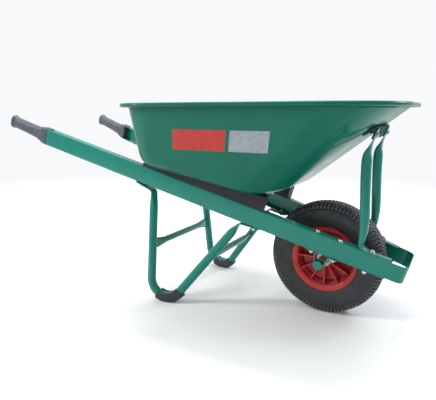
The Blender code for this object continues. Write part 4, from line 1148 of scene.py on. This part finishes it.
# ---------------------------------------------------------------- wheel
TYRE_SIDE = [
    (0.0, TYRE_R),
    (0.0150, TYRE_R),
    (0.0260, 0.1985),
    (0.0350, 0.1950),
    (0.0415, 0.1890),
    (0.0458, 0.1800),
    (0.0490, 0.1620),
    (0.0476, 0.1400),
    (0.0440, 0.1190),
    (0.0402, 0.1075),
]
TYRE_INSIDE = [
    (0.1905, 0.0160),
    (0.1840, 0.0340),
    (0.1620, 0.0435),
    (0.1300, 0.0400),
    (0.1130, 0.0330),
    (0.1022, 0.0260),
    (0.1022, 0.0360),
]
LUG_DEPTH = 0.0042
LUG_END = 0.0560
LUG_EDGE = 0.0008
LUG_ROOT = 0.0012
SIDEWALL_RINGS = (0.1225, 0.1285, 0.1500)
SIDEWALL_RING_HEIGHT = 0.0006
SIDEWALL_RING_HALF = 0.0009
# Reach from and to, filled share of the pitch, offset and slant in pitches, sink of the outer end
LUG_ROWS = (
    (0.0012, 0.0138, 0.66, 0.00, 0.30, 0.0),
    (0.0160, 0.0282, 0.64, 0.45, -0.30, 0.0),
    (0.0305, LUG_END, 0.56, 0.00, 0.10, 0.6),
)


def smooth_curve(points, steps):
    """Catmull-Rom curve through 2D points."""
    points = [Vector(point) for point in points]
    padded = [2 * points[0] - points[1]] + points + [2 * points[-1] - points[-2]]
    curve = []
    for a, b, c, d in zip(padded, padded[1:], padded[2:], padded[3:]):
        for k in range(steps):
            t = k / steps
            cubic = (3 * b - a - 3 * c + d) * t ** 3
            curve.append((2 * b + (c - a) * t + (2 * a - 5 * b + 4 * c - d) * t * t + cubic) / 2)
    return curve + [points[-1]]


TYRE_CURVE = [Vector((p.x, min(p.y, TYRE_R))) for p in smooth_curve(TYRE_SIDE, 12)]
TYRE_LENGTHS = lengths_of(TYRE_CURVE)
TYRE_TANGENTS = tangents(TYRE_CURVE)


def tyre_face(reach, depth):
    """(axial, radius) of the tyre's outer face at a reach from its centre line, sunk by the depth."""
    reach = min(reach, TYRE_LENGTHS[-1])
    i = max(1, next(k for k, length in enumerate(TYRE_LENGTHS) if length >= reach))
    share = (reach - TYRE_LENGTHS[i - 1]) / (TYRE_LENGTHS[i] - TYRE_LENGTHS[i - 1])
    point = TYRE_CURVE[i - 1].lerp(TYRE_CURVE[i], share)
    tangent = TYRE_TANGENTS[i - 1].lerp(TYRE_TANGENTS[i], share).normalized()
    return point - Vector((-tangent.y, tangent.x)) * depth


def groove_depth(reach):
    """How far the carcass lies under the lugs."""
    return LUG_DEPTH * smoothstep((LUG_END + 0.003 - reach) / 0.006)


def carcass_profile():
    """Closed section of the tyre under its blocks, as (radius, axial)."""
    side = []
    steps = 96
    for k in range(steps + 1):
        reach = TYRE_LENGTHS[-1] * k / steps
        radius = tyre_face(reach, 0).y
        offsets = [(radius - ring) / SIDEWALL_RING_HALF for ring in SIDEWALL_RINGS]
        ridge = SIDEWALL_RING_HEIGHT * sum(math.exp(-offset ** 2) for offset in offsets)
        point = tyre_face(reach, groove_depth(reach) - ridge)
        side.append((point.y, point.x))
    outer = side[::-1] + [(radius, -z) for radius, z in side[1:]]
    inner = [(radius, -z) for radius, z in reversed(TYRE_INSIDE)] + TYRE_INSIDE
    return outer + inner


def lug_rings(row, side):
    """Cross-sections of one tread block along its reach, as (axial, radius, angle)."""
    start, end, share, offset, slant, sink = row
    pitch = 2 * math.pi / LUG_COUNT
    parts = max(2, math.ceil((end - start) / 0.003))
    reaches = [start, start + LUG_EDGE]
    reaches += [start + (end - start) * k / parts for k in range(1, parts)]
    reaches += [end - LUG_EDGE, end]
    bevel = LUG_EDGE * 0.7
    half = share * pitch / 2
    rim = half - LUG_EDGE / TYRE_R
    rings = []
    for reach in reaches:
        along = (reach - start) / (end - start)
        top = sink * LUG_DEPTH * smoothstep((along - 0.55) / 0.45)
        if reach in (start, end):
            top += bevel
        base = groove_depth(reach) + LUG_ROOT
        top = min(top, base - LUG_EDGE)
        middle = (offset + slant * (along - 0.5)) * pitch + (0.5 * pitch if side < 0 else 0)
        flank = [(half, base), (half, top + bevel), (rim, top)]
        ring = []
        for angle, depth in [(-angle, depth) for angle, depth in flank] + flank[::-1]:
            point = tyre_face(reach, depth)
            ring.append((side * point.x, point.y, middle + angle))
        rings.append(ring)
    return rings


def tread_mesh():
    """All the tread blocks, each a closed block sunk into the carcass."""
    points, faces = [], []
    for row in LUG_ROWS:
        for side in (1, -1):
            pattern = lug_rings(row, side)
            for lug in range(LUG_COUNT):
                turn = 2 * math.pi * lug / LUG_COUNT
                first = len(points)
                for ring in pattern:
                    for axial, radius, angle in ring:
                        c, s = math.cos(angle + turn), math.sin(angle + turn)
                        points.append(HUB @ Vector((radius * c, radius * s, axial)))
                rows, count = len(pattern), len(pattern[0])
                block = ring_faces(rows, count) + end_faces(rows, count)
                faces += [tuple(first + index for index in face) for face in block]
    return tidy_mesh(mesh_of("fine_tread", points, faces), 30)


STRAIGHT = math.radians(176)


def softened(profile, radius, steps=3):
    """Closed profile with each corner rounded."""
    corners = [Vector(point) for point in profile]
    points = []
    for i, corner in enumerate(corners):
        before, after = corners[i - 1], corners[(i + 1) % len(corners)]
        if (before - corner).angle(after - corner) > STRAIGHT:
            points.append(tuple(corner))
            continue
        points += [tuple(point) for point in tight_fillet(before, corner, after, radius, steps)]
    return points


def mirrored(half):
    """Complete an upper-half profile, listed from the outside top to the middle, with its lower half."""
    return half + [(radius, -z) for radius, z in reversed(half)]


def rim_profile():
    """Rim, web and hub in one section: outer face down, then up through the inside."""
    barrel = [
        (0.1150, 0.0472),
        (RIM_LIP_R, 0.0450),
        (0.1065, 0.0410),
        (0.1016, 0.0375),
        (0.1008, 0.0240),
        (0.0930, 0.0170),
    ]
    hub_and_dish = [
        (0.0160, 0.0325),
        (BEARING_R + GAP, 0.0325),
        (BEARING_R + GAP, HUB_HALF),
        (0.0290, HUB_HALF),
        (0.0305, 0.0060),
        (0.0340, 0.0025),
        (0.0880, 0.0025),
        (0.0892, 0.0150),
        (0.0962, 0.0250),
        (0.0975, 0.0370),
        (0.1030, 0.0430),
    ]
    lower = [(radius, -z) for radius, z in reversed(hub_and_dish)]
    return mirrored(barrel) + lower + hub_and_dish


def spoke_meshes():
    """Thin radial plates that cross the web from hub to barrel, on both faces."""
    half = [
        (0.0285, 0.0400),
        (0.0500, 0.0355),
        (0.0780, 0.0335),
        (0.0985, 0.0345),
        (0.0980, 0.0250),
        (0.0905, 0.0150),
    ]
    outline = [Vector(point) for point in softened(mirrored(half), 0.002, 2)]
    meshes = []
    for k in range(SPOKE_COUNT):
        turn = HUB @ Matrix.Rotation(2 * math.pi * k / SPOKE_COUNT, 4, "Z")
        meshes.append(extruded("spoke", outline, -SPOKE_HALF_THICK, SPOKE_HALF_THICK, turn))
    return meshes


def bearing_profiles(side):
    """Outer ring, inner ring and cage of one ball bearing."""
    centre = side * BEARING_Y
    top, low = centre + BEARING_HALF, centre - BEARING_HALF

    def groove_points(sign):
        points = []
        for degrees in range(-50, 51, 10):
            c, s = math.cos(math.radians(degrees)), math.sin(math.radians(degrees))
            points.append((BALL_PITCH + sign * BALL_GROOVE * c, centre - BALL_GROOVE * s))
        return points

    outer_lip, inner_lip = BALL_PITCH + RING_HALF_GAP, BALL_PITCH - RING_HALF_GAP
    outer = [(BEARING_R, top), (BEARING_R, low), (outer_lip, low)]
    outer += groove_points(1)[::-1] + [(outer_lip, top)]
    inner = [(inner_lip, top)] + groove_points(-1)
    inner += [(inner_lip, low), (AXLE_R + GAP, low), (AXLE_R + GAP, top)]
    thick, tall = CAGE_HALF
    signs = ((1, 1), (1, -1), (-1, -1), (-1, 1))
    cage = [(BALL_PITCH + across * thick, centre + up * tall) for across, up in signs]
    return outer, inner, cage


def balls_mesh(side):
    mesh = bpy.data.meshes.new("balls")
    with edited(mesh) as bm:
        for k in range(BALL_COUNT):
            turn = HUB @ Matrix.Rotation(2 * math.pi * k / BALL_COUNT, 4, "Z")
            place = turn @ Matrix.Translation((BALL_PITCH, 0, side * BEARING_Y))
            bmesh.ops.create_uvsphere(bm, u_segments=20, v_segments=12, radius=BALL_R, matrix=place)
    return mesh


def valve_mesh(name, r_inner, r_outer, profile):
    """Round piece of the valve, along a radius between two spokes; the profile is (share, radius)."""
    angle = math.pi / SPOKE_COUNT
    radial = Vector((math.cos(angle), math.sin(angle), 0))
    place = HUB @ frame_at(radial * r_inner + Vector((0, 0, VALVE_OFFSET)), radial)
    span = r_outer - r_inner
    rings = [[place @ point for point in round_ring(radius, span * share)] for share, radius in profile]
    return ring_mesh(name, rings, caps=True)


# ---------------------------------------------------------------- axle
def saddle_mesh(side):
    """Strap with its feet under the flange and a U below the axle."""
    x, z = to_plane(0, AXLE.z)
    top = -RAIL_HEIGHT - GAP - SADDLE_SHEET / 2
    reach = SADDLE_BOLT_SPAN + SADDLE_TOE
    hug = AXLE_R + GAP + SADDLE_SHEET / 2
    straight = z + SADDLE_STRAIGHT
    corners = [(x + reach, top), (x + SADDLE_FOOT, top), (x + hug, straight), (x + hug, z)]
    path = rounded_path(corners, SADDLE_BENDS, 8)
    for k in range(1, 12):
        angle = -math.pi / 2 * k / 12
        path.append(Vector((x + hug * math.cos(angle), z + hug * math.sin(angle))))
    path.append(Vector((x, z - hug)))
    full = path + [Vector((2 * x - p.x, p.y)) for p in path[:-1]][::-1]
    low = side * SADDLE_Y - SADDLE_WIDTH / 2
    return extruded("fine_saddle", strip_outline(full, SADDLE_SHEET), low, low + SADDLE_WIDTH, PLANE)


def cap_profile(side, end):
    """Painted disc with a plug, as rings of (radius, height) along the axle."""
    shape = [
        (AXLE_R - 0.0033, end - 0.012),
        (AXLE_R - 0.0033, end + GAP),
        (0.0146, end + GAP),
        (0.0150, end + 0.0007),
        (0.0150, end + 0.0024),
        (0.0146, end + 0.0031),
        (0.0138, end + 0.0035),
        (0.0060, end + 0.0035),
        (0.0052, end + 0.0030),
    ]
    return [(radius, side * height) for radius, height in shape]


# ---------------------------------------------------------------- fastener places
def saddle_places(z):
    """Frames of the four strap bolts, Z off the channel's top plane."""
    x = to_plane(0, AXLE.z)[0]
    places = {}
    for word, side in SIDES.items():
        for end, span in (("rear", -SADDLE_BOLT_SPAN), ("front", SADDLE_BOLT_SPAN)):
            places[f"{word}_{end}"] = PLANE @ Matrix.Translation((x + span, side * SADDLE_Y, z))
    return places


def leg_places(z):
    """Frames of the leg bolts, in the middle of the channel's lower flange."""
    places = {}
    rear, front = LEG_BOLT_INSET
    for end, x in (("rear", LEG_REAR_TAB_X + rear), ("front", LEG_FRONT_TAB_X - front)):
        x_plane = to_plane(x, rail_bottom(x))[0]
        y = web_y(x_plane) - FLANGE_WIDTH / 2
        for word, side in SIDES.items():
            places[f"{word}_{end}"] = PLANE @ Matrix.Translation((x_plane, side * y, z))
    return places


def leg_bolt_grip(end):
    """From the flange's inner face to where a nut clears the sloping tab."""
    free, bent = (LEG_CORNERS[0], LEG_CORNERS[1]) if end == "rear" else (LEG_CORNERS[4], LEG_CORNERS[3])
    inset = LEG_BOLT_INSET[0 if end == "rear" else 1]
    (x_free, z_free), (x_bent, z_bent) = to_plane(*free), to_plane(*bent)
    tilt = math.atan2(z_free - z_bent, abs(x_bent - x_free))
    reach = inset / math.cos(RAIL_PITCH) + BOLT_FLATS / math.sqrt(3)
    below = TAB_HALF_THICK + GAP + reach * math.tan(tilt) + TAB_HALF_THICK / math.cos(tilt)
    return CHANNEL_WALL + below + GAP


def stay_foot_places(z):
    """Frames on the stays' foot tabs, Z off the channel's top plane."""
    x = STAY_TAB_X - STAY_BOLT_INSET
    x_plane = to_plane(x, rail_top(x))[0]
    return {
        word: PLANE @ Matrix.Translation((x_plane, side * STAY_Y, z)) for word, side in SIDES.items()
    }


def tray_places():
    """Frames on the tray floor, Z along the floor's normal."""
    places = {}
    for end, x in TRAY_BOLT_X.items():
        y = web_y(to_plane(x, rail_top(x))[0]) - TRAY_BOLT_INSET
        for word, side in SIDES.items():
            places[f"{word}_{end}"] = frame_at(ROOT @ Vector((x, side * y, floor_top(x))), FLOOR_AXIS)
    return places


def side_frames(point, y, axis):
    """A frame on each side of the middle point, with Z along the axis."""
    return {word: frame_at(point + Vector((0, side * y, 0)), axis) for word, side in SIDES.items()}


def stay_top_places(offset):
    """Frames on the stays' top tabs, Z facing forward."""
    top, along, ahead = stay_top_frame()
    return side_frames(ROOT @ (top - along * STAY_TOP_BOLT_DROP + ahead * offset), STAY_Y, ahead)


def bracket_places(offset):
    """Frames on the tray's front wall above the bracket, Z pointing into the tray."""
    corner = bracket_corners()[1]
    _, along, under = wall_frame()
    middle = ROOT @ (corner - along * BRACKET_BOLT_DROP - under * offset)
    return side_frames(middle, BRACKET_BOLT_Y, -under)


def add_fastener(node, mesh):
    piece(f"fine_{node}", mesh, ZINC, [node])


def add_bolts(kind, places, head, grip, tail, nut=False):
    for word, place in places.items():
        node = f"{kind}_{word}"
        add_fastener(node, bolt_mesh(f"fine_{node}", place, head, grip, tail, nut))


def add_nuts(kind, places):
    for word, place in places.items():
        node = f"{kind}_{word}"
        add_fastener(node, nut_mesh(f"fine_{node}", place))


def add_fasteners():
    strap_low = -RAIL_HEIGHT - GAP - SADDLE_SHEET
    foot_tab = 2 * (TAB_HALF_THICK + GAP)
    add_bolts("saddle_bolt", saddle_places(0), flanged_head(), -strap_low, LONG_TAIL)
    add_nuts("saddle_nut", saddle_places(strap_low))
    grip = foot_tab + RAIL_HEIGHT
    add_bolts("stay_foot_bolt", stay_foot_places(foot_tab), flanged_head(), grip, LONG_TAIL)
    add_nuts("stay_foot_nut", stay_foot_places(-RAIL_HEIGHT))
    for word, place in leg_places(-RAIL_HEIGHT + CHANNEL_WALL).items():
        grip = leg_bolt_grip(word.split("_")[1])
        add_bolts("leg_bolt", {word: place}, flanged_head(), grip, SHORT_TAIL, nut=True)
    tilt = math.cos(RAIL_PITCH - FLOOR_PITCH)
    for word, place in tray_places().items():
        point = place.to_translation()
        drop = (point.z - rail_top(point.x - AXLE.x)) * math.cos(RAIL_PITCH) / tilt
        grip = drop + CHANNEL_WALL / tilt + TRAY_BOLT_SLACK
        add_bolts("tray_bolt", {word: place}, cup_head(), grip, SHORT_TAIL, nut=True)
    top_tab = TAB_HALF_THICK + GAP
    grip = 2 * top_tab + BRACKET_SHEET
    add_bolts("stay_top_bolt", stay_top_places(top_tab), flanged_head(), grip, SHORT_TAIL, nut=True)
    inside = BRACKET_SHEET / 2 + 2 * GAP + SHEET
    grip = inside + BRACKET_SHEET / 2
    add_bolts("bracket_bolt", bracket_places(inside), cup_head(), grip, SHORT_TAIL, nut=True)


# ---------------------------------------------------------------- side marks
FILM_PROUD = 0.0001
# Corners of the plain bars in side view: low rear, low front, high front, high rear
MARK_CORNERS = {
    "red": ((0.030, 0.580), (0.228, 0.580), (0.246, 0.648), (0.048, 0.648)),
    "grey": ((0.242, 0.580), (0.376, 0.580), (0.394, 0.648), (0.260, 0.648)),
}


def mark_mesh(name, tray, side, corners):
    """Thin film on the tray's side wall, cut to a four-cornered outline in side view."""
    columns, rows = 28, 6
    low_left, low_right, high_right, high_left = [Vector(corner) for corner in corners]
    outer, inner = [], []
    for i in range(columns + 1):
        for j in range(rows + 1):
            low = low_left.lerp(low_right, i / columns)
            high = high_left.lerp(high_right, i / columns)
            x, z = low.lerp(high, j / rows)
            hit = tray.ray_cast(Vector((x, side, z)), Vector((0, -side, 0)))[0]
            outer.append(hit + Vector((0, side * FILM_PROUD, 0)))
            inner.append(hit - Vector((0, side * SHEET / 4, 0)))
    tall = rows + 1
    count = len(outer)
    corner_indices = [i * tall + j for i in range(columns) for j in range(rows)]
    faces = []
    for first in (0, count):
        faces += [tuple(first + a + step for step in (0, tall, tall + 1, 1)) for a in corner_indices]
    border = list(range(tall)) + [i * tall + rows for i in range(1, columns + 1)]
    border += [columns * tall + j for j in range(rows - 1, -1, -1)]
    border += [i * tall for i in range(columns - 1, 0, -1)]
    faces += [(a, b, count + b, count + a) for a, b in zip(border, border[1:] + border[:1])]
    return tidy_mesh(mesh_of(name, outer + inner, faces))


# ---------------------------------------------------------------- materials
GREEN = (0.001, 0.182, 0.138)
GREEN_TRAY = (0.001, 0.116, 0.076)
# Darker copy of the green paint: painted shade for the bracket, which sits in shadow under the tray's front
GREEN_PAINTED_SHADE = (0.002, 0.050, 0.036)
MARK_RED = (0.420, 0.018, 0.012)
MARK_GREY = (0.250, 0.285, 0.310)
# Distances over which the floor runs out
FLOOR_FADE = (1.6, 4.5)


def rubber(name, colour, roughness, dust_and_sheen):
    """Tyre rubber: fine radial flow lines, mottled bloom and dust; a high last number raises the bloom into a
    painted highlight.
    """
    s = Shader(name, roughness, specular=0.50)
    body = s.clouded(colour, 14.0, 5.0, 0.75, 1.25)
    # Pale bloom: dust on the tyre, raised on the tread as a painted highlight
    bloom = s.remap(s.noise(55.0, 5.0, 0.65), 0.48, 0.75, 0.0, dust_and_sheen)
    body = s.mix(bloom, body, (0.16, 0.15, 0.14))
    worn = s.maths("MULTIPLY", s.edges(0.0012), 0.30)
    s.colour(s.mix(worn, body, scaled(colour, 3.0)))
    s.rough(60.0, 4.0, roughness - 0.10, roughness + 0.12)
    x, _, z = s.coordinate()
    angle = s.maths("ARCTAN2", s.maths("SUBTRACT", z, AXLE.z), s.maths("SUBTRACT", x, AXLE.x))
    lines = s.maths("SINE", s.maths("MULTIPLY", angle, 360.0))
    s.bump(lines, 0.12, 0.0003)
    s.bump(s.noise(500.0, 3.0), 0.15, 0.0004)
    return s.material


def printed(name, colour):
    """Printed film: slightly uneven ink, tiny pinholes of the paint below."""
    s = Shader(name, 0.34, specular=0.25, coat=0.2, coat_roughness=0.15)
    holes = s.remap(s.noise(900.0, 2.0), 0.70, 0.74)
    s.colour(s.mix(holes, s.clouded(colour, 60.0, 4.0, 0.90, 1.10), GREEN_TRAY))
    s.rough(120.0, 3.0, 0.28, 0.44)
    s.bump(s.noise(300.0, 2.0), 0.06, 0.0003)
    return s.material


def floor_finish():
    """Pale floor that runs out into the backdrop at a distance."""
    s = Shader("studio_floor", 0.62, specular=0.3)
    cloud = s.remap(s.noise(1.5, 4.0), 0.3, 0.7)
    s.colour(s.mix(cloud, (0.86, 0.86, 0.86), (0.89, 0.89, 0.89)))
    s.rough(6.0, 3.0, 0.55, 0.70)
    s.bump(s.noise(220.0, 3.0), 0.04, 0.0008)
    reach = s.node("ShaderNodeVectorMath", operation="LENGTH")
    s.link(s.place, reach.inputs[0])
    s.link(s.remap(reach.outputs["Value"], *FLOOR_FADE, 1.0, 0.0), s.shader.inputs["Alpha"])
    return s.material


FRAME_PAINT = paint("frame_paint", GREEN, 0.36, (0, RAIL_PITCH, 0))
TRAY_PAINT = paint("tray_paint", GREEN_TRAY, 0.34, (0, FLOOR_PITCH, 0), coat=0.22, specular=0.08)
# The bracket's paint is darkened as painted shade, not a colour of its own
BRACKET_PAINT_SHADED = paint("bracket_paint", GREEN_PAINTED_SHADE, 0.60, coat=0.0, specular=0.10)
GRIP_PLASTIC = moulded("grip_plastic", (0.062, 0.070, 0.088), 0.52, specular=0.4)
WEDGE_PLASTIC = moulded("wedge_plastic", (0.020, 0.021, 0.026), 0.50, specular=0.25, scuff=0.10)
SHOE_PLASTIC = moulded("shoe_plastic", (0.030, 0.032, 0.040), 0.42, specular=0.35, scuff=0.30)
CAP_PLASTIC = moulded("cap_plastic", (0.020, 0.020, 0.022), 0.42)
RIM_PLASTIC = moulded("rim_plastic", (0.430, 0.016, 0.013), 0.30, grain=1400.0, scuff=0.10)
MARK_FILM = {"red": printed("mark_red", MARK_RED), "grey": printed("mark_grey", MARK_GREY)}
TYRE_RUBBER = rubber("tyre_rubber", (0.016, 0.018, 0.022), 0.50, 0.10)
# Same rubber as the tyre, painted lighter with more bloom: partly dust, partly a painted highlight where the lug
# tops catch the light
TREAD_RUBBER_PAINTED_SHEEN = rubber("tread_rubber_painted_sheen", (0.050, 0.055, 0.064), 0.42, 0.40)
TUBE_RUBBER = rubber("tube_rubber", (0.020, 0.020, 0.022), 0.50, 0.10)
BEARING_STEEL = plated("bearing_steel", (0.56, 0.56, 0.57), 0.26)
BALL_STEEL = plated("ball_steel", (0.70, 0.70, 0.71), 0.14)
ZINC = plated("zinc_plate", (0.62, 0.63, 0.64), 0.34)


# ---------------------------------------------------------------- assembly
def frame_piece(name, mesh, node, bevel=0.0):
    """A green steel piece of the frame."""
    piece(f"fine_{name}", mesh, FRAME_PAINT, [node], bevel=bevel)


def repaint(node, material):
    """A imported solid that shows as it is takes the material."""
    frame["nodes"][node].material_slots[0].material = material


def add_chassis():
    frame_piece("chassis", chassis_mesh(), "chassis_channel", bevel=0.0004)
    for word, side in SIDES.items():
        piece(f"fine_grip_{word}", grip_mesh(side), GRIP_PLASTIC, [f"grip_{word}"])
        piece(f"fine_grip_lip_{word}", tongue_mesh(side), GRIP_PLASTIC)
        repaint(f"wedge_{word}", WEDGE_PLASTIC)


def add_tray():
    mesh = tray_mesh()
    surface = bmesh.new()
    surface.from_mesh(mesh)
    walls = BVHTree.FromBMesh(surface)
    surface.free()
    piece("fine_tray", mesh, TRAY_PAINT, ["tray"], bevel=0.0003)
    nodes = ["tray_front_bracket"]
    # The bracket takes the darkened green, painted shade for the shadow under the tray
    piece("fine_bracket", bracket_mesh(), BRACKET_PAINT_SHADED, nodes, bevel=0.0006)
    for word, side in SIDES.items():
        for colour, corners in MARK_CORNERS.items():
            name = f"side_mark_{colour}_{word}"
            piece(name, mark_mesh(name, walls, side, corners), MARK_FILM[colour])


def add_legs():
    for word, side in SIDES.items():
        frame_piece(f"leg_{word}", leg_mesh(side), f"leg_{word}")
        piece(f"fine_shoe_{word}", shoe_mesh(side), SHOE_PLASTIC, [f"leg_shoe_{word}"])
        frame_piece(f"stay_{word}", stay_mesh(side), f"stay_{word}")
        frame_piece(f"saddle_{word}", saddle_mesh(side), f"axle_saddle_{word}", bevel=0.0006)
    for word, mesh in brace_meshes().items():
        frame_piece(f"brace_{word}", mesh, f"leg_brace_{word}")


def add_wheel():
    tyre = turned_mesh("fine_tyre", carcass_profile(), 2 * LUG_COUNT)
    piece("fine_tyre", tyre, TYRE_RUBBER, ["tyre"], "wheel")
    # The tread blocks take the lighter rubber, a painted highlight with some dust
    piece("fine_tread", tread_mesh(), TREAD_RUBBER_PAINTED_SHEEN, body="wheel")
    rim = [turned_mesh("rim", softened(rim_profile(), 0.0012))] + spoke_meshes()
    piece("fine_rim", joined("fine_rim", rim, 35), RIM_PLASTIC, ["wheel_rim"], "wheel")
    stem = valve_mesh("stem", *VALVE_STEM_SPAN, VALVE_STEM)
    piece("fine_valve_stem", stem, TUBE_RUBBER, ["valve_stem"], "wheel")
    cap = valve_mesh("cap", *VALVE_CAP_SPAN, VALVE_CAP)
    piece("fine_valve_cap", cap, CAP_PLASTIC, ["valve_cap"], "wheel")
    repaint("inner_tube", TUBE_RUBBER)


def add_axle():
    end = SADDLE_Y + SADDLE_WIDTH / 2 + AXLE_PROUD
    bore = AXLE_R - AXLE_TUBE_WALL
    tube = softened([(AXLE_R, end), (AXLE_R, -end), (bore, -end), (bore, end)], 0.0003)
    frame_piece("axle", turned_mesh("fine_axle", tube, 64), "axle")
    repaint("bearing_spacer", BEARING_STEEL)
    for word, side in SIDES.items():
        near = side * (BEARING_Y + BEARING_HALF + GAP)
        far = side * (SADDLE_Y - SADDLE_WIDTH / 2 - GAP)
        inside = AXLE_R + GAP
        sleeve = softened([(SLEEVE_R, near), (SLEEVE_R, far), (inside, far), (inside, near)], 0.0006)
        mesh = turned_mesh("fine_sleeve", sleeve, 64)
        piece(f"fine_sleeve_{word}", mesh, ZINC, [f"axle_spacer_{word}"])
        mesh = turned_mesh("fine_cap", cap_profile(side, end), 64, wrap=False)
        frame_piece(f"axle_cap_{word}", mesh, f"axle_cap_{word}")
        outer, inner, cage = bearing_profiles(side)
        for ring, profile, body in (("outer", outer, "wheel"), ("inner", inner, "frame")):
            mesh = turned_mesh(f"fine_{ring}", softened(profile, 0.0004), 72)
            nodes = [f"bearing_{ring}_{word}"]
            piece(f"fine_{ring}_ring_{word}", mesh, BEARING_STEEL, nodes, body)
        mesh = joined("fine_balls", [balls_mesh(side), turned_mesh("cage", cage, 72)], 60)
        nodes = [f"bearing_balls_{word}"]
        piece(f"fine_balls_{word}", mesh, BALL_STEEL, nodes, "wheel")


add_chassis()
add_tray()
add_legs()
add_wheel()
add_axle()
add_fasteners()


# ---------------------------------------------------------------- studio
CAMERA_PLACE = (0.9082, -1.536, 0.704)
CAMERA_TURN = (78.95, 0.0, 28.36)
CAMERA_LENS = 37.22
CAMERA_SHIFT = -0.0112
FLOOR_RADIUS = 14
AIM = Vector((0.0, 0.0, 0.35))
# Place, size, power, colour
LIGHTS = {
    "key": ((-2.4, -1.9, 2.2), (0.9, 0.7), 72, (1.0, 0.98, 0.95)),
    "top": ((0.0, 0.4, 2.8), (2.0, 0.7), 75, (0.97, 1.0, 1.0)),
    "back": ((2.2, 1.5, 2.0), (1.2, 0.7), 35, (0.92, 0.97, 1.0)),
}
BACKDROP = (0.97, 0.98, 1.0, 1.0)
BRIGHT_SIDE = (-0.60, 0.75, 0.28)
BACKDROP_FADE = (-0.9, 0.55, 0.55, 0.97)


def add_light(name, place, size, power, colour):
    light = bpy.data.lights.new(name, "AREA")
    light.shape = "RECTANGLE"
    light.size, light.size_y = size
    light.energy = power
    light.color = colour
    item = in_scene(name, light)
    item.location = place
    item.rotation_euler = (AIM - Vector(place)).to_track_quat("-Z", "Y").to_euler()


def add_floor():
    mesh = bpy.data.meshes.new("studio_floor")
    with edited(mesh) as bm:
        bmesh.ops.create_circle(bm, cap_ends=True, segments=96, radius=FLOOR_RADIUS)
    mesh.materials.append(floor_finish())
    floor = in_scene("studio_floor", mesh)


def add_backdrop():
    """Pale world, brighter on one side."""
    world = bpy.data.worlds.new("studio")
    bpy.context.scene.world = world
    world.use_nodes = True
    tree = world.node_tree
    backdrop = tree.nodes["Background"]
    backdrop.inputs["Color"].default_value = BACKDROP
    towards = tree.nodes.new("ShaderNodeVectorMath")
    towards.operation = "DOT_PRODUCT"
    towards.inputs[1].default_value = BRIGHT_SIDE
    tree.links.new(tree.nodes.new("ShaderNodeTexCoord").outputs["Generated"], towards.inputs[0])
    strength = map_range(tree, towards.outputs["Value"], *BACKDROP_FADE)
    tree.links.new(strength, backdrop.inputs["Strength"])


def add_camera():
    camera = bpy.data.cameras.new("photo_view")
    camera.lens = CAMERA_LENS
    camera.shift_x = CAMERA_SHIFT
    camera.clip_start = 0.05
    camera.clip_end = 60
    item = in_scene("photo_view", camera)
    item.location = CAMERA_PLACE
    item.rotation_euler = [math.radians(angle) for angle in CAMERA_TURN]
    bpy.context.scene.camera = item


add_floor()
bpy.context.scene.view_settings.view_transform = "Standard"
add_backdrop()
for light_name, settings in LIGHTS.items():
    add_light(light_name, *settings)
add_camera()
